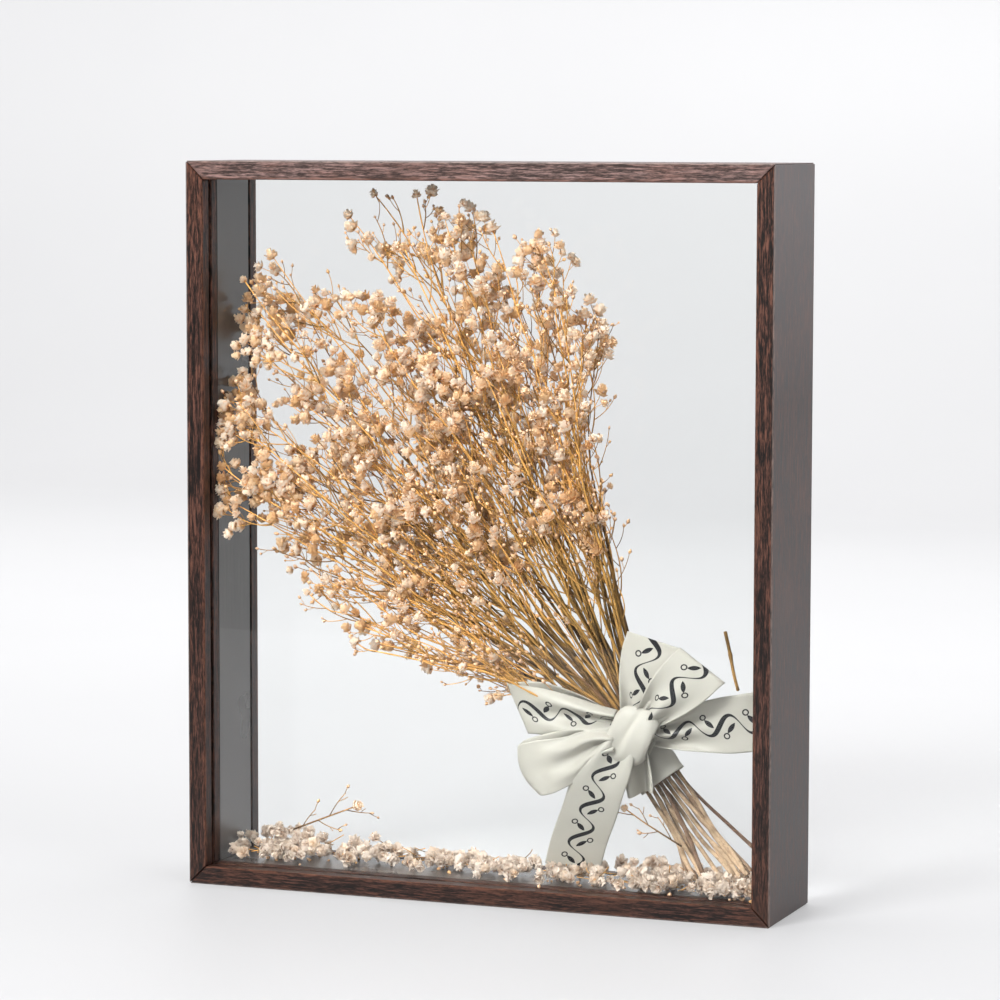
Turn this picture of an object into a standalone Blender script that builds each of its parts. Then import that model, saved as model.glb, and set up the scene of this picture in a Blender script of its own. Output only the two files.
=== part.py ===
"""Deep double-glazed box frame that holds a tied bouquet of dried baby's breath.

Metres, +Z up, the front face looks towards -Y, and the origin is at the middle of the underside.
"""

import math

import bmesh
import bpy
import numpy as np
from mathutils import Matrix, Vector

# ---- the frame, in metres ----
WIDTH = 0.265
HEIGHT = 0.315
DEPTH = 0.056
RAIL_FACE = 0.008
RAIL_WALL = 0.0045  # thickness of a rail behind its lip
RAIL_EASE = 0.0004  # eased edge of a rail
GLASS_THICK = 0.002
GLASS_PLAY = 0.0005  # between a pane's edge and the bottom of its groove
GAP = 0.0003  # air left between pieces that touch

# depths measured back from the front face
LIP_BACK = 0.0065
SLOT_BACK = 0.0095
RIB_BACK = 0.0152
LINER_BACK = 0.0473

# ---- the bouquet ----
STEM_RADIUS = 0.001
STEM_TAPER = 0.8
STEM_COUNTS = (8, 7)  # front row, rear row
STEM_PITCH = 0.00235
TIE_Y = (0.0024, 0.0058)  # how far back each row lies in the tie
FOOT_Y = (0.0014, 0.0078)
FORK_Y = (0.0006, 0.0068)
TIP_Y = (-0.0105, 0.0120)
TIE = Vector((0.0620, 0.0, 0.0715))
BUNDLE_ANGLE = math.radians(126.5)  # the way the bundle runs, from its cut ends up
FAN_MIDDLE = math.radians(135.0)
FAN_HALF = math.radians(38.0)
FOOT_MIDDLE = math.radians(307.5)
FOOT_HALF = math.radians(6.0)
FOOT_LOWEST = 0.0145
FOOT_RISE = 0.0040
BELOW_TIE = 0.028
ABOVE_TIE = 0.012
BEND_LENGTH = 0.008
FORK_LENGTH = 0.022

# how far the sprays reach from the fan's centre, by their angle in degrees
FAN_CENTRE = Vector((0.050, 0.0, 0.092))
REACH_ANGLES = (90.0, 98.0, 108.0, 118.0, 135.0, 148.0, 157.0, 166.0, 176.0)
REACHES = (0.176, 0.188, 0.203, 0.226, 0.234, 0.204, 0.184, 0.146, 0.108)
SPRAY_SPREAD = 0.080  # half the width of a spray, as a share of its length
SPRAY_WIDEST = 0.0146
SPRAY_DEEPEST = 0.0068
SPRAY_SHOULDER = 0.84  # where a spray is widest, as a share of its length

# ---- the ribbon ----
RIBBON_HALF_WIDTH = 0.0125
RIBBON_THICK = 0.0008  # of the plain ribbon solids
WRAP_PLAY = 0.0012  # between the wrap's middle surface and the stems
WRAP_WIDEN = 1.4  # the two turns lie side by side, wider than one ribbon
WRAP_DROP = 0.010  # from the tie down to the middle of the wrap
WRAP_CORNER = 0.002
KNOT_CAGE = (0.0200, 0.0088, 0.0260)
KNOT_PLACE = (0.0665, -0.0125, 0.0745)
KNOT_LEAN = math.radians(-14)

# name, root in X and Z, angle in degrees, length, depth of the front layer, depth of the back layer
LOOPS = (
    ("left_upper", (0.0560, 0.0765), 173.0, 0.047, -0.0068, -0.0030),
    ("left_lower", (0.0550, 0.0710), 204.0, 0.043, -0.0135, -0.0080),
    ("right_upper", (0.0760, 0.0825), 47.0, 0.037, -0.0135, -0.0080),
    ("right", (0.0790, 0.0765), 4.0, 0.043, -0.0055, 0.0030),
)
LOOP_PINCH = 0.4  # width at the knot, as a share of the full width

# name, root in X and Z, angle in degrees, pinch at the knot, width share far out, (distance, depth) route
TAILS = (
    ("up", (0.0640, 0.0780), 74.0, 0.45, 1.0, ((0.0, -0.0045), (0.020, -0.0050), (0.040, -0.0035))),
    (
        "long",
        (0.0520, 0.0600),
        251.0,
        0.75,
        1.0,
        ((0.0, -0.0155), (0.018, -0.0152), (0.034, -0.0070), (0.0500, 0.0030)),
    ),
    ("short", (0.0690, 0.0660), 268.0, 0.4, 0.42, ((0.0, -0.0045), (0.012, -0.0050), (0.024, -0.0045))),
)
TAIL_POINTS = 8

# ---- what has fallen ----
FLOOR = RAIL_FACE + GAP
LEFT_BANK = (
    (-0.1240, FLOOR),
    (0.0170, FLOOR),
    (0.0170, 0.0125),
    (-0.0300, 0.0140),
    (-0.0700, 0.0170),
    (-0.0950, 0.0215),
    (-0.1150, 0.0240),
    (-0.1240, 0.0190),
)
LEFT_BANK_Y = (-0.0130, 0.0185)
RIGHT_BANK = (
    (0.0240, FLOOR),
    (0.1240, FLOOR),
    (0.1240, 0.0210),
    (0.1100, 0.0160),
    (0.0850, 0.0150),
    (0.0680, 0.0180),
    (0.0450, 0.0150),
    (0.0240, 0.0120),
)
RIGHT_BANK_Y = (-0.0150, -0.0020)
BANK_EASE = 0.0012
LOOSE = (
    (
        "loose_stem",
        0.0008,
        ((0.1075, -0.0130, 0.1205), (0.1100, -0.0132, 0.1075), (0.1115, -0.0130, 0.0945)),
    ),
    (
        "loose_twig_left",
        0.0006,
        ((-0.0960, 0.0060, 0.0250), (-0.0850, 0.0060, 0.0265), (-0.0680, 0.0060, 0.0330)),
    ),
    (
        "loose_twig_right",
        0.0006,
        ((0.0800, -0.0020, 0.0290), (0.0710, -0.0050, 0.0350), (0.0610, -0.0070, 0.0430)),
    ),
)

BACK = Vector((0, 1, 0))
ALONG = Vector((math.cos(BUNDLE_ANGLE), 0.0, math.sin(BUNDLE_ANGLE)))
ACROSS = Vector((math.sin(BUNDLE_ANGLE), 0.0, -math.cos(BUNDLE_ANGLE)))
HALF_BUNDLE = (max(STEM_COUNTS) - 1) / 2 * STEM_PITCH


# ---- small helpers ----
def clear_scene():
    for old in list(bpy.data.objects):
        bpy.data.objects.remove(old, do_unlink=True)


def material(name, colour, roughness, metallic=0.0, transmission=0.0):
    """A Principled material with one colour."""
    made = bpy.data.materials.new(name)
    made.use_nodes = True
    shader = made.node_tree.nodes["Principled BSDF"]
    shader.inputs["Base Color"].default_value = (*colour, 1.0)
    shader.inputs["Roughness"].default_value = roughness
    shader.inputs["Metallic"].default_value = metallic
    shader.inputs["Transmission Weight"].default_value = transmission
    made.diffuse_color = (*colour, 1.0)
    return made


def add_object(name, data, finish, matrix=None):
    """Links an object for the data, with its own material, at a matrix."""
    made = bpy.data.objects.new(name, data)
    data.materials.clear()
    data.materials.append(finish)
    PARTS.objects.link(made)
    if matrix is not None:
        made.matrix_world = matrix
    return made


def placed(x_way, y_way, z_way, origin):
    """The matrix whose columns are three directions and an origin."""
    turn = Matrix((x_way, y_way, z_way)).transposed().to_4x4()
    return Matrix.Translation(origin) @ turn


def box_mesh(name, size):
    """A box centred on its own origin."""
    shape = bmesh.new()
    bmesh.ops.create_cube(shape, size=1.0, matrix=Matrix.Diagonal((*size, 1.0)))
    mesh = bpy.data.meshes.new(name)
    shape.to_mesh(mesh)
    shape.free()
    return mesh


def poly_curve(name, points, cyclic, dimensions):
    """A curve of one poly spline through the points, which are 2D or 3D."""
    curve = bpy.data.curves.new(name, "CURVE")
    curve.dimensions = dimensions
    spline = curve.splines.new("POLY")
    spline.points.add(len(points) - 1)
    for slot, point in zip(spline.points, points):
        slot.co = (*point, *(0.0,) * (3 - len(point)), 1.0)
    spline.use_cyclic_u = cyclic
    return curve


def mesh_of(obj):
    """The evaluated mesh of a curve object, with its loose caps welded. The object is removed."""
    graph = bpy.context.evaluated_depsgraph_get()
    mesh = bpy.data.meshes.new_from_object(obj.evaluated_get(graph))
    bpy.data.objects.remove(obj, do_unlink=True)
    shape = bmesh.new()
    shape.from_mesh(mesh)
    bmesh.ops.remove_doubles(shape, verts=shape.verts, dist=1e-6)
    bmesh.ops.recalc_face_normals(shape, faces=shape.faces)
    shape.to_mesh(mesh)
    shape.free()
    return mesh


def smooth_path(points, count):
    """count points on a Catmull-Rom curve through the given ones, evenly spaced by length."""
    knots = np.array([tuple(p) for p in points], float)
    padded = np.vstack([2 * knots[0] - knots[1], knots, 2 * knots[-1] - knots[-2]])
    share = np.linspace(0.0, 1.0, 24, endpoint=False)[:, None]
    pieces = []
    for a, b, c, d in zip(padded, padded[1:], padded[2:], padded[3:]):
        bend = 2 * b + (c - a) * share + (2 * a - 5 * b + 4 * c - d) * share**2
        pieces.append(0.5 * (bend + (3 * b - a - 3 * c + d) * share**3))
    dense = np.vstack([*pieces, knots[-1:]])
    steps = np.linalg.norm(np.diff(dense, axis=0), axis=1)
    run = np.concatenate([[0.0], np.cumsum(steps)])
    wanted = np.linspace(0.0, run[-1], count)
    return np.column_stack([np.interp(wanted, run, line) for line in dense.T])


def tube(name, points, radius, finish, count):
    """A round rod along a smooth path, with closed ends, a little thinner at its far end."""
    path = smooth_path(points, count)
    curve = poly_curve(name, path, False, "3D")
    curve.bevel_depth = radius
    curve.bevel_resolution = 1
    curve.use_fill_caps = True
    for slot, width in zip(curve.splines[0].points, np.linspace(1.0, STEM_TAPER, count)):
        slot.radius = width
    return add_object(name, curve, finish)


def direction(angle):
    """A unit vector in the upright plane, at an angle from +X."""
    return Vector((math.cos(angle), 0.0, math.sin(angle)))


# ---- the frame ----
# inward direction, a point on the outer face at the front, and outer length of each side
SIDES = {
    "bottom": (Vector((0, 0, 1)), Vector((0, -DEPTH / 2, 0)), WIDTH),
    "top": (Vector((0, 0, -1)), Vector((0, -DEPTH / 2, HEIGHT)), WIDTH),
    "left": (Vector((1, 0, 0)), Vector((-WIDTH / 2, -DEPTH / 2, HEIGHT / 2)), HEIGHT),
    "right": (Vector((-1, 0, 0)), Vector((WIDTH / 2, -DEPTH / 2, HEIGHT / 2)), HEIGHT),
}


def cut_mitres(mesh, length):
    """Cuts both ends of a bar at 45 degrees, so that it is longest at its outer face."""
    shape = bmesh.new()
    shape.from_mesh(mesh)
    end = length / 2 - GAP * math.sqrt(0.5)
    for way in (1.0, -1.0):
        bmesh.ops.bisect_plane(
            shape,
            geom=[*shape.verts, *shape.edges, *shape.faces],
            dist=1e-7,
            plane_co=(0, 0, way * end),
            plane_no=(1, 0, way),
            clear_outer=True,
        )
        open_edges = [edge for edge in shape.edges if edge.is_boundary]
        bmesh.ops.holes_fill(shape, edges=open_edges)
    bmesh.ops.dissolve_limit(shape, angle_limit=math.radians(1), verts=shape.verts, edges=shape.edges)
    bmesh.ops.recalc_face_normals(shape, faces=shape.faces)
    shape.to_mesh(mesh)
    shape.free()


def mitred_bar(name, outline, side, finish):
    """A straight bar with the outline as its section, mitred at both ends.

    The outline's first number runs from the frame's outer face inwards, its second from front to back.
    """
    inward, origin, length = SIDES[side]
    curve = poly_curve(name, outline, True, "2D")
    curve.fill_mode = "BOTH"
    curve.extrude = length
    mesh = mesh_of(add_object(name, curve, finish))
    cut_mitres(mesh, length)
    return add_object(name, mesh, finish, placed(inward, BACK, inward.cross(BACK), origin))


def add_rails(finish):
    """Four mitred rails: a front lip, a slot for the front pane, a rib, and an outer wall."""
    outline = (
        (0, 0),
        (RAIL_FACE, 0),
        (RAIL_FACE, LIP_BACK),
        (RAIL_WALL, LIP_BACK),
        (RAIL_WALL, SLOT_BACK),
        (RAIL_FACE, SLOT_BACK),
        (RAIL_FACE, RIB_BACK),
        (RAIL_WALL, RIB_BACK),
        (RAIL_WALL, DEPTH),
        (0, DEPTH),
    )
    for side in SIDES:
        rail = mitred_bar(f"rail_{side}", outline, side, finish)
        ease = rail.modifiers.new("eased edges", "BEVEL")
        ease.width = RAIL_EASE
        ease.segments = 1
        ease.limit_method = "ANGLE"
        ease.angle_limit = math.radians(40)


def add_strips(name, front, back, finish):
    """Four mitred strips inside the rails, from one depth to another."""
    outer = RAIL_WALL + GAP
    outline = ((outer, front), (RAIL_FACE, front), (RAIL_FACE, back), (outer, back))
    for side in SIDES:
        mitred_bar(f"{name}_{side}", outline, side, finish)


def add_pane(name, front, finish):
    """A flat pane whose edges reach into the groove behind the lip."""
    inset = RAIL_WALL + GLASS_PLAY
    mesh = box_mesh(name, (WIDTH - 2 * inset, GLASS_THICK, HEIGHT - 2 * inset))
    centre = Vector((0, front + GLASS_THICK / 2 - DEPTH / 2, HEIGHT / 2))
    add_object(name, mesh, finish, Matrix.Translation(centre))


# ---- the bouquet ----
def stem_rows():
    """(offset across the bundle, its share of the half width, row) of each stem, front row first."""
    rows = []
    for row, count in enumerate(STEM_COUNTS):
        for column in range(count):
            offset = (column - (count - 1) / 2) * STEM_PITCH
            rows.append((offset, offset / HALF_BUNDLE, row))
    return rows


def stem_points(offset, share, row):
    """The route of a stem, from its cut end through the tie to its first fork."""
    middle = TIE + ACROSS * offset + BACK * TIE_Y[row]
    below = middle - ALONG * BELOW_TIE
    above = middle + ALONG * ABOVE_TIE
    lower_way = direction(FOOT_MIDDLE + FOOT_HALF * share)
    lowest = FOOT_LOWEST + FOOT_RISE * (share + 1.0)
    foot = below + lower_way * ((lowest - below.z) / lower_way.z)
    foot.y = FOOT_Y[row]
    bend = above + ALONG * BEND_LENGTH
    bend.y = (2 * TIE_Y[row] + FORK_Y[row]) / 3
    fork = bend + direction(FAN_MIDDLE - FAN_HALF * share) * FORK_LENGTH
    fork.y = FORK_Y[row]
    return [foot, below, middle, above, bend, fork]


def spray_tip(share, row):
    """The far end of a spray, on the outline of the whole fan."""
    angle = FAN_MIDDLE - FAN_HALF * share
    reach = float(np.interp(math.degrees(angle), REACH_ANGLES, REACHES))
    tip = FAN_CENTRE + direction(angle) * reach
    tip.y = TIP_Y[row]
    return tip


def club_radius(share):
    """Radius of a club at a share of its length: it widens to the shoulder, then rounds off."""
    if share <= SPRAY_SHOULDER:
        return (share / SPRAY_SHOULDER) ** 0.9
    past = (share - SPRAY_SHOULDER) / (1.0 - SPRAY_SHOULDER)
    return math.sqrt(1.0 - past * past)


def add_spray(name, start, tip, finish):
    """A club-shaped solid of revolution, flattened from front to back: one stem's head of blossom."""
    axis = tip - start
    length = axis.length
    up = axis.normalized()
    deep = (BACK - up * up.y).normalized()
    shares = (1.0, 0.985, 0.94, 0.89, SPRAY_SHOULDER, 0.6, 0.35, 0.12, 0.0)
    profile = [(club_radius(share), 0.0, length * share) for share in shares]
    profile[0] = (0.0, 0.0, length)
    mesh = bpy.data.meshes.new(name)
    mesh.from_pydata(profile, [(i, i + 1) for i in range(len(profile) - 1)], [])
    wide = min(SPRAY_SPREAD * length, SPRAY_WIDEST)
    matrix = placed(deep.cross(up) * wide, deep * SPRAY_DEEPEST, up, start)
    club = add_object(name, mesh, finish, matrix)
    turn = club.modifiers.new("turned", "SCREW")
    turn.steps = 10
    turn.render_steps = 10
    turn.use_merge_vertices = True
    turn.merge_threshold = 0.00005


def add_bouquet(stem_finish, blossom_finish):
    """Each stem from its cut end to its first fork, and the head of blossom that it carries."""
    for number, (offset, share, row) in enumerate(stem_rows(), start=1):
        route = stem_points(offset, share, row)
        tube(f"stem_{number:02d}", route, STEM_RADIUS, stem_finish, count=12)
        tip = spray_tip(share, row)
        onward = (tip - route[-1]).normalized()
        start = route[-1] + onward * (STEM_RADIUS + GAP)
        add_spray(f"spray_{number:02d}", start, tip, blossom_finish)


# ---- the ribbon ----
def ribbon_place(root, degrees):
    """A matrix whose X runs out from the root at the angle, Y runs back, and Z across the ribbon."""
    out = direction(math.radians(degrees))
    return placed(out, BACK, out.cross(BACK), Vector((root[0], 0.0, root[1])))


def ribbon_band(name, path, widths, matrix, finish, cyclic=False):
    """A flat band that stands across its path's plane. widths are shares of the full ribbon width."""
    curve = poly_curve(name, path, cyclic, "2D")
    curve.fill_mode = "NONE"
    curve.extrude = RIBBON_HALF_WIDTH
    for slot, width in zip(curve.splines[0].points, widths):
        slot.radius = width
    mesh = mesh_of(add_object(name, curve, finish))
    band = add_object(name, mesh, finish, matrix)
    wall = band.modifiers.new("ribbon", "SOLIDIFY")
    wall.thickness = RIBBON_THICK
    wall.offset = 0.0


def add_loop(name, root, degrees, length, y_front, y_back, finish):
    """A loop that leaves the knot in front, turns round at its far end and comes home behind."""
    radius = (y_back - y_front) / 2
    turn_at = length - radius
    outward = [(turn_at * step / 5, y_front) for step in range(5)]
    bends = [math.pi * step / 6 for step in range(7)]
    round_end = [(turn_at + radius * math.sin(b), y_front + radius * (1 - math.cos(b))) for b in bends]
    homeward = [(turn_at * (1 - step / 5), y_back) for step in range(1, 6)]
    route = outward + round_end + homeward
    widths = [LOOP_PINCH + (1 - LOOP_PINCH) * min(1.0, 1.6 * x / length) ** 0.7 for x, _ in route]
    ribbon_band(f"ribbon_loop_{name}", route, widths, ribbon_place(root, degrees), finish)


def add_tail(name, root, degrees, pinch, full, route, finish):
    """A single layer along a route of (distance out, depth) pairs."""
    smooth = smooth_path([(x, y, 0.0) for x, y in route], TAIL_POINTS)[:, :2]
    far = smooth[-1][0]
    widths = [pinch + (full - pinch) * min(1.0, 2.2 * x / far) ** 0.7 for x, _ in smooth]
    ribbon_band(f"ribbon_tail_{name}", smooth, widths, ribbon_place(root, degrees), finish)


def add_wrap(finish):
    """The turns of ribbon that bind the stems: a flattened ring along the bundle."""
    half_wide = HALF_BUNDLE + STEM_RADIUS + WRAP_PLAY - WRAP_CORNER
    front = TIE_Y[0] - STEM_RADIUS - WRAP_PLAY + WRAP_CORNER
    back = TIE_Y[1] + STEM_RADIUS + WRAP_PLAY - WRAP_CORNER
    corners = (
        (half_wide, back, 0),
        (-half_wide, back, 90),
        (-half_wide, front, 180),
        (half_wide, front, 270),
    )
    ring = []
    for x, y, start in corners:
        for step in range(4):
            turn = math.radians(start + 30 * step)
            ring.append((x + WRAP_CORNER * math.cos(turn), y + WRAP_CORNER * math.sin(turn)))
    matrix = placed(ACROSS, BACK, ALONG, TIE - ALONG * WRAP_DROP)
    ribbon_band("ribbon_wrap", ring, [WRAP_WIDEN] * len(ring), matrix, finish, cyclic=True)


def add_knot(finish):
    """The knot: a soft pillow in front of the wrap, from a cube cage."""
    place = Matrix.Translation(KNOT_PLACE) @ Matrix.Rotation(KNOT_LEAN, 4, "Y")
    knot = add_object("ribbon_knot", box_mesh("ribbon_knot", KNOT_CAGE), finish, place)
    soften = knot.modifiers.new("soft", "SUBSURF")
    soften.levels = 2
    soften.render_levels = 2


def add_ribbon(finish):
    """The wrap, the knot, four loops and three tails of the tied ribbon."""
    add_wrap(finish)
    add_knot(finish)
    for loop in LOOPS:
        add_loop(*loop, finish)
    for tail in TAILS:
        add_tail(*tail, finish)


# ---- what has fallen ----
def add_bank(name, outline, span, finish):
    """A low bank of shed blossoms on the floor strip: an outline seen from the front, made thick."""
    front, back = span
    curve = poly_curve(name, outline, True, "2D")
    curve.fill_mode = "BOTH"
    curve.extrude = (back - front) / 2
    mesh = mesh_of(add_object(name, curve, finish))
    upright = Matrix.Rotation(math.radians(90), 4, "X")
    middle = Matrix.Translation((0, (front + back) / 2, 0))
    bank = add_object(name, mesh, finish, middle @ upright)
    ease = bank.modifiers.new("soft edges", "BEVEL")
    ease.width = BANK_EASE
    ease.segments = 1
    ease.limit_method = "ANGLE"
    ease.angle_limit = math.radians(50)


def add_fallen(blossom_finish, stem_finish):
    """Two banks of shed blossoms, a loose length of stem and two loose twigs."""
    add_bank("fallen_blossoms_left", LEFT_BANK, LEFT_BANK_Y, blossom_finish)
    add_bank("fallen_blossoms_right", RIGHT_BANK, RIGHT_BANK_Y, blossom_finish)
    for name, radius, route in LOOSE:
        tube(name, route, radius, stem_finish, count=6)


def main():
    dark_wood = material("dark_wood", (0.060, 0.036, 0.028), 0.45)
    liner = material("dark_liner", (0.050, 0.045, 0.043), 0.35)
    glass = material("clear_glass", (0.95, 0.98, 0.96), 0.02, transmission=1.0)
    dry_stem = material("dry_stem", (0.35, 0.20, 0.07), 0.7)
    dry_blossom = material("dry_blossom", (0.78, 0.62, 0.42), 0.85)
    satin = material("cream_satin", (0.84, 0.81, 0.72), 0.45)
    add_rails(dark_wood)
    add_pane("glass_front", (LIP_BACK + SLOT_BACK - GLASS_THICK) / 2, glass)
    add_strips("liner", RIB_BACK + GAP, LINER_BACK, liner)
    add_pane("glass_rear", LINER_BACK + GAP, glass)
    add_strips("rear_bead", LINER_BACK + 2 * GAP + GLASS_THICK, DEPTH, dark_wood)
    add_bouquet(dry_stem, dry_blossom)
    add_ribbon(satin)
    add_fallen(dry_blossom, dry_stem)


clear_scene()
PARTS = bpy.data.collections.new("dried flower box frame")
bpy.context.scene.collection.children.link(PARTS)
main()
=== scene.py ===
"""Dried flower box frame: the looks, built as an add-on around the fixed frame.

Metres, +Z up, the front looks towards -Y. Every new piece is a surface worked out as whole arrays of points.
"""

import math

import bpy
import numpy as np
from mathutils import Matrix, Vector


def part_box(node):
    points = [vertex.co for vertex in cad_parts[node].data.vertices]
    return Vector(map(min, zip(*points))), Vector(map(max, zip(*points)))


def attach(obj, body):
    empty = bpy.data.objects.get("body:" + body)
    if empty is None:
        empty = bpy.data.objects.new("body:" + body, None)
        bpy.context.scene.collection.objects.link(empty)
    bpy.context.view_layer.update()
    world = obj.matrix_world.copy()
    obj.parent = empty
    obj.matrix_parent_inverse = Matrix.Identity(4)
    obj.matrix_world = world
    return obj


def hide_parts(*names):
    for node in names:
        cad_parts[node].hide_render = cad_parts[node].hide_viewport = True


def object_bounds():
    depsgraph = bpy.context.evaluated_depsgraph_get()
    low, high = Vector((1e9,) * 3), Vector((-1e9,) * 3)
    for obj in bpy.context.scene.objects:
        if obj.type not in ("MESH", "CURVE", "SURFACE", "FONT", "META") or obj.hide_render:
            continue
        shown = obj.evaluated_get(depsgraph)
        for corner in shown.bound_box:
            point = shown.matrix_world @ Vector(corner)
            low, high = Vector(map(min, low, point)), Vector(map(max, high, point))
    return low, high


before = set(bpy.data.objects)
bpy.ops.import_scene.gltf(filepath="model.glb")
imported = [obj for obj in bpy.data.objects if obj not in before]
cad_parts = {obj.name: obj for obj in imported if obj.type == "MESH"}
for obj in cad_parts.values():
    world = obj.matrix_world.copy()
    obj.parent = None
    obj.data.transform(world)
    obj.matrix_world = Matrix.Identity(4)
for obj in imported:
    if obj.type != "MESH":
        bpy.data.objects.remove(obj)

bl_info = {
    "name": "Dried flower box frame",
    "version": (1, 0, 0),
    "blender": (4, 5, 0),
    "location": "3D View > Sidebar > Flower Frame",
    "description": "Builds a tied bouquet of dried baby's breath in a deep glazed box frame",
    "category": "Add Mesh",
}

CAD_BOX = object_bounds()
HIGH = CAD_BOX[1]
STEMS = sorted(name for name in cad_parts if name.startswith("stem_"))
SPRAYS = sorted(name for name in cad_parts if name.startswith("spray_"))

LINING_MIDDLE = 0.165  # the height with the least painted reflection on the linings
# the clear space between the panes and the linings
PANE_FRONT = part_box("glass_front")[1].y
PANE_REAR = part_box("glass_rear")[0].y
INSIDE_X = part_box("liner_right")[0].x
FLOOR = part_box("liner_bottom")[1].z
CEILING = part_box("liner_top")[0].z

# ---- the bouquet's plan, in metres and degrees ----
FRONT_ROW = 8  # stems in the front row; the others stand behind it
STEM_PITCH = 0.00235
BRANCHES = 8  # on each stalk
TIE = np.array([0.0620, 0.0, 0.0715])
TIE_Y = (0.0024, 0.0058)
FOOT_Y = (0.0014, 0.0078)
BUNDLE_ANGLE = 126.5
FAN_MIDDLE = 135.0
FAN_HALF = 36.5
FAN_CENTRE = np.array([0.050, 0.0, 0.092])
# the crown's outline from the fan's centre: angle and reach
CROWN = (
    (75, 0.035), (86, 0.070), (90, 0.150), (94, 0.186), (97, 0.195), (101, 0.205), (105, 0.214), (109, 0.217),
    (113, 0.220), (118, 0.224), (121, 0.212), (124, 0.198), (127, 0.204), (130, 0.236), (134, 0.244), (140, 0.224),
    (147, 0.218), (155, 0.204), (158, 0.188), (162, 0.164), (165, 0.148), (169, 0.130), (174, 0.112), (178, 0.090),
)
# the crown's lower edge as (x, z) and its right edge as (z, x)
LOWER_EDGE = ((-0.132, 0.176), (-0.096, 0.144), (-0.055, 0.106), (0.000, 0.099), (0.060, 0.072))
RIGHT_EDGE = (
    (0.080, 0.075), (0.100, 0.061), (0.140, 0.051), (0.185, 0.039), (0.206, 0.038), (0.244, 0.045), (0.285, 0.028),
)
# places (x, z) where the blossoms crowd or thin out, how wide, and by how much
THICK_AND_THIN = (
    (-0.112, 0.202, 0.030, 2.4), (-0.115, 0.266, 0.017, 4.0), (-0.107, 0.2195, 0.010, -2.4),
    (-0.100, 0.248, 0.016, -0.8), (-0.082, 0.264, 0.014, -0.85), (-0.058, 0.258, 0.014, 2.2),
    (-0.040, 0.286, 0.014, -0.6), (-0.034, 0.262, 0.013, -0.85), (-0.024, 0.290, 0.012, -0.7),
    (0.004, 0.270, 0.020, 1.2), (0.042, 0.244, 0.012, -0.6), (-0.092, 0.145, 0.026, -0.85),
    (-0.060, 0.112, 0.024, -0.65), (-0.020, 0.108, 0.026, -0.70), (-0.030, 0.215, 0.035, 0.4),
)
# lone sprigs that stand out of it: angle and reach
LONE_SPRIGS = (
    (134, 0.250), (130, 0.249), (120, 0.242), (117, 0.246), (112, 0.236),
    (143, 0.212), (91, 0.172), (87, 0.140), (177, 0.108), (183, 0.072),
)
# points along each kind of rod
STEM_POINTS = STALK_POINTS = 30
BRANCH_POINTS = 9
TWIG_POINTS = 6
STALKLET_POINTS = 4
TWIGS = 4  # on each branch
BLOSSOM_KINDS = 6  # different blossoms, and different buds, that the copies are drawn from
BUD_KINDS = 4
# the places of the finishes on a piece that bears blossoms
STALK_SLOT, PETAL_SLOT, BUD_SLOT = range(3)
FULL_TURN = 6.28  # near enough, for spins drawn at random


# ---- sums on arrays ----
def unit(vectors):
    """Each row divided by its length."""
    return vectors / np.maximum(np.linalg.norm(vectors, axis=-1, keepdims=True), 1e-12)


def heading(degrees):
    """Unit vectors in the upright plane, at angles from +X."""
    turn = np.radians(np.asarray(degrees, float))
    return np.stack([np.cos(turn), np.zeros_like(turn), np.sin(turn)], -1)


def length_of(line):
    """The length run at each point of a line."""
    return np.concatenate([[0.0], np.cumsum(np.linalg.norm(np.diff(line, axis=0), axis=1))])


def smooth_rows(rows, count):
    """Rows along a Catmull-Rom curve through the given rows, evenly spaced by the length of the first three columns."""
    rows = np.asarray(rows, float)
    padded = np.vstack([2 * rows[0] - rows[1], rows, 2 * rows[-1] - rows[-2]])
    spot = np.linspace(0, len(rows) - 1, 60 * (len(rows) - 1) + 1)
    first = np.minimum(spot.astype(int), len(rows) - 2)
    t = (spot - first)[:, None]
    a, b, c, d = (padded[first + step] for step in range(4))
    dense = 0.5 * (2 * b + (c - a) * t + (2 * a - 5 * b + 4 * c - d) * t**2 + (3 * b - a - 3 * c + d) * t**3)
    run = length_of(dense[:, :3])
    wanted = np.linspace(0.0, run[-1], count)
    return np.column_stack([np.interp(wanted, run, column) for column in dense.T])


def bezier(p0, p1, p2, p3, count):
    """(n, count, 3) cubic curves: (1-t)^3 p0 + 3(1-t)^2 t p1 + 3(1-t) t^2 p2 + t^3 p3."""
    t = np.linspace(0, 1, count)[None, :, None]
    p0, p1, p2, p3 = (p[:, None, :] for p in (p0, p1, p2, p3))
    return (1 - t) ** 3 * p0 + 3 * (1 - t) ** 2 * t * p1 + 3 * (1 - t) * t**2 * p2 + t**3 * p3


def spot_on(curves, which, share):
    """The point and the direction at a share of the run of each chosen curve."""
    count = curves.shape[1]
    at = share * (count - 1)
    low = np.minimum(at.astype(int), count - 2)
    rest = (at - low)[:, None]
    before, after = curves[which, low], curves[which, low + 1]
    return before * (1 - rest) + after * rest, unit(after - before)


def keep_inside(points, margin=0.0012):
    """Points eased back between the panes, the linings and the floor: past a soft limit they press up against it."""
    low = np.array([-INSIDE_X, PANE_FRONT, FLOOR]) + margin
    high = np.array([INSIDE_X, PANE_REAR, CEILING]) - margin
    soft = 0.004
    under = np.minimum(points - low - soft, 0)
    over = np.maximum(points - high + soft, 0)
    points = points - under + soft * (np.exp(under / soft) - 1)
    return points - over + soft * (1 - np.exp(-over / soft))


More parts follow.
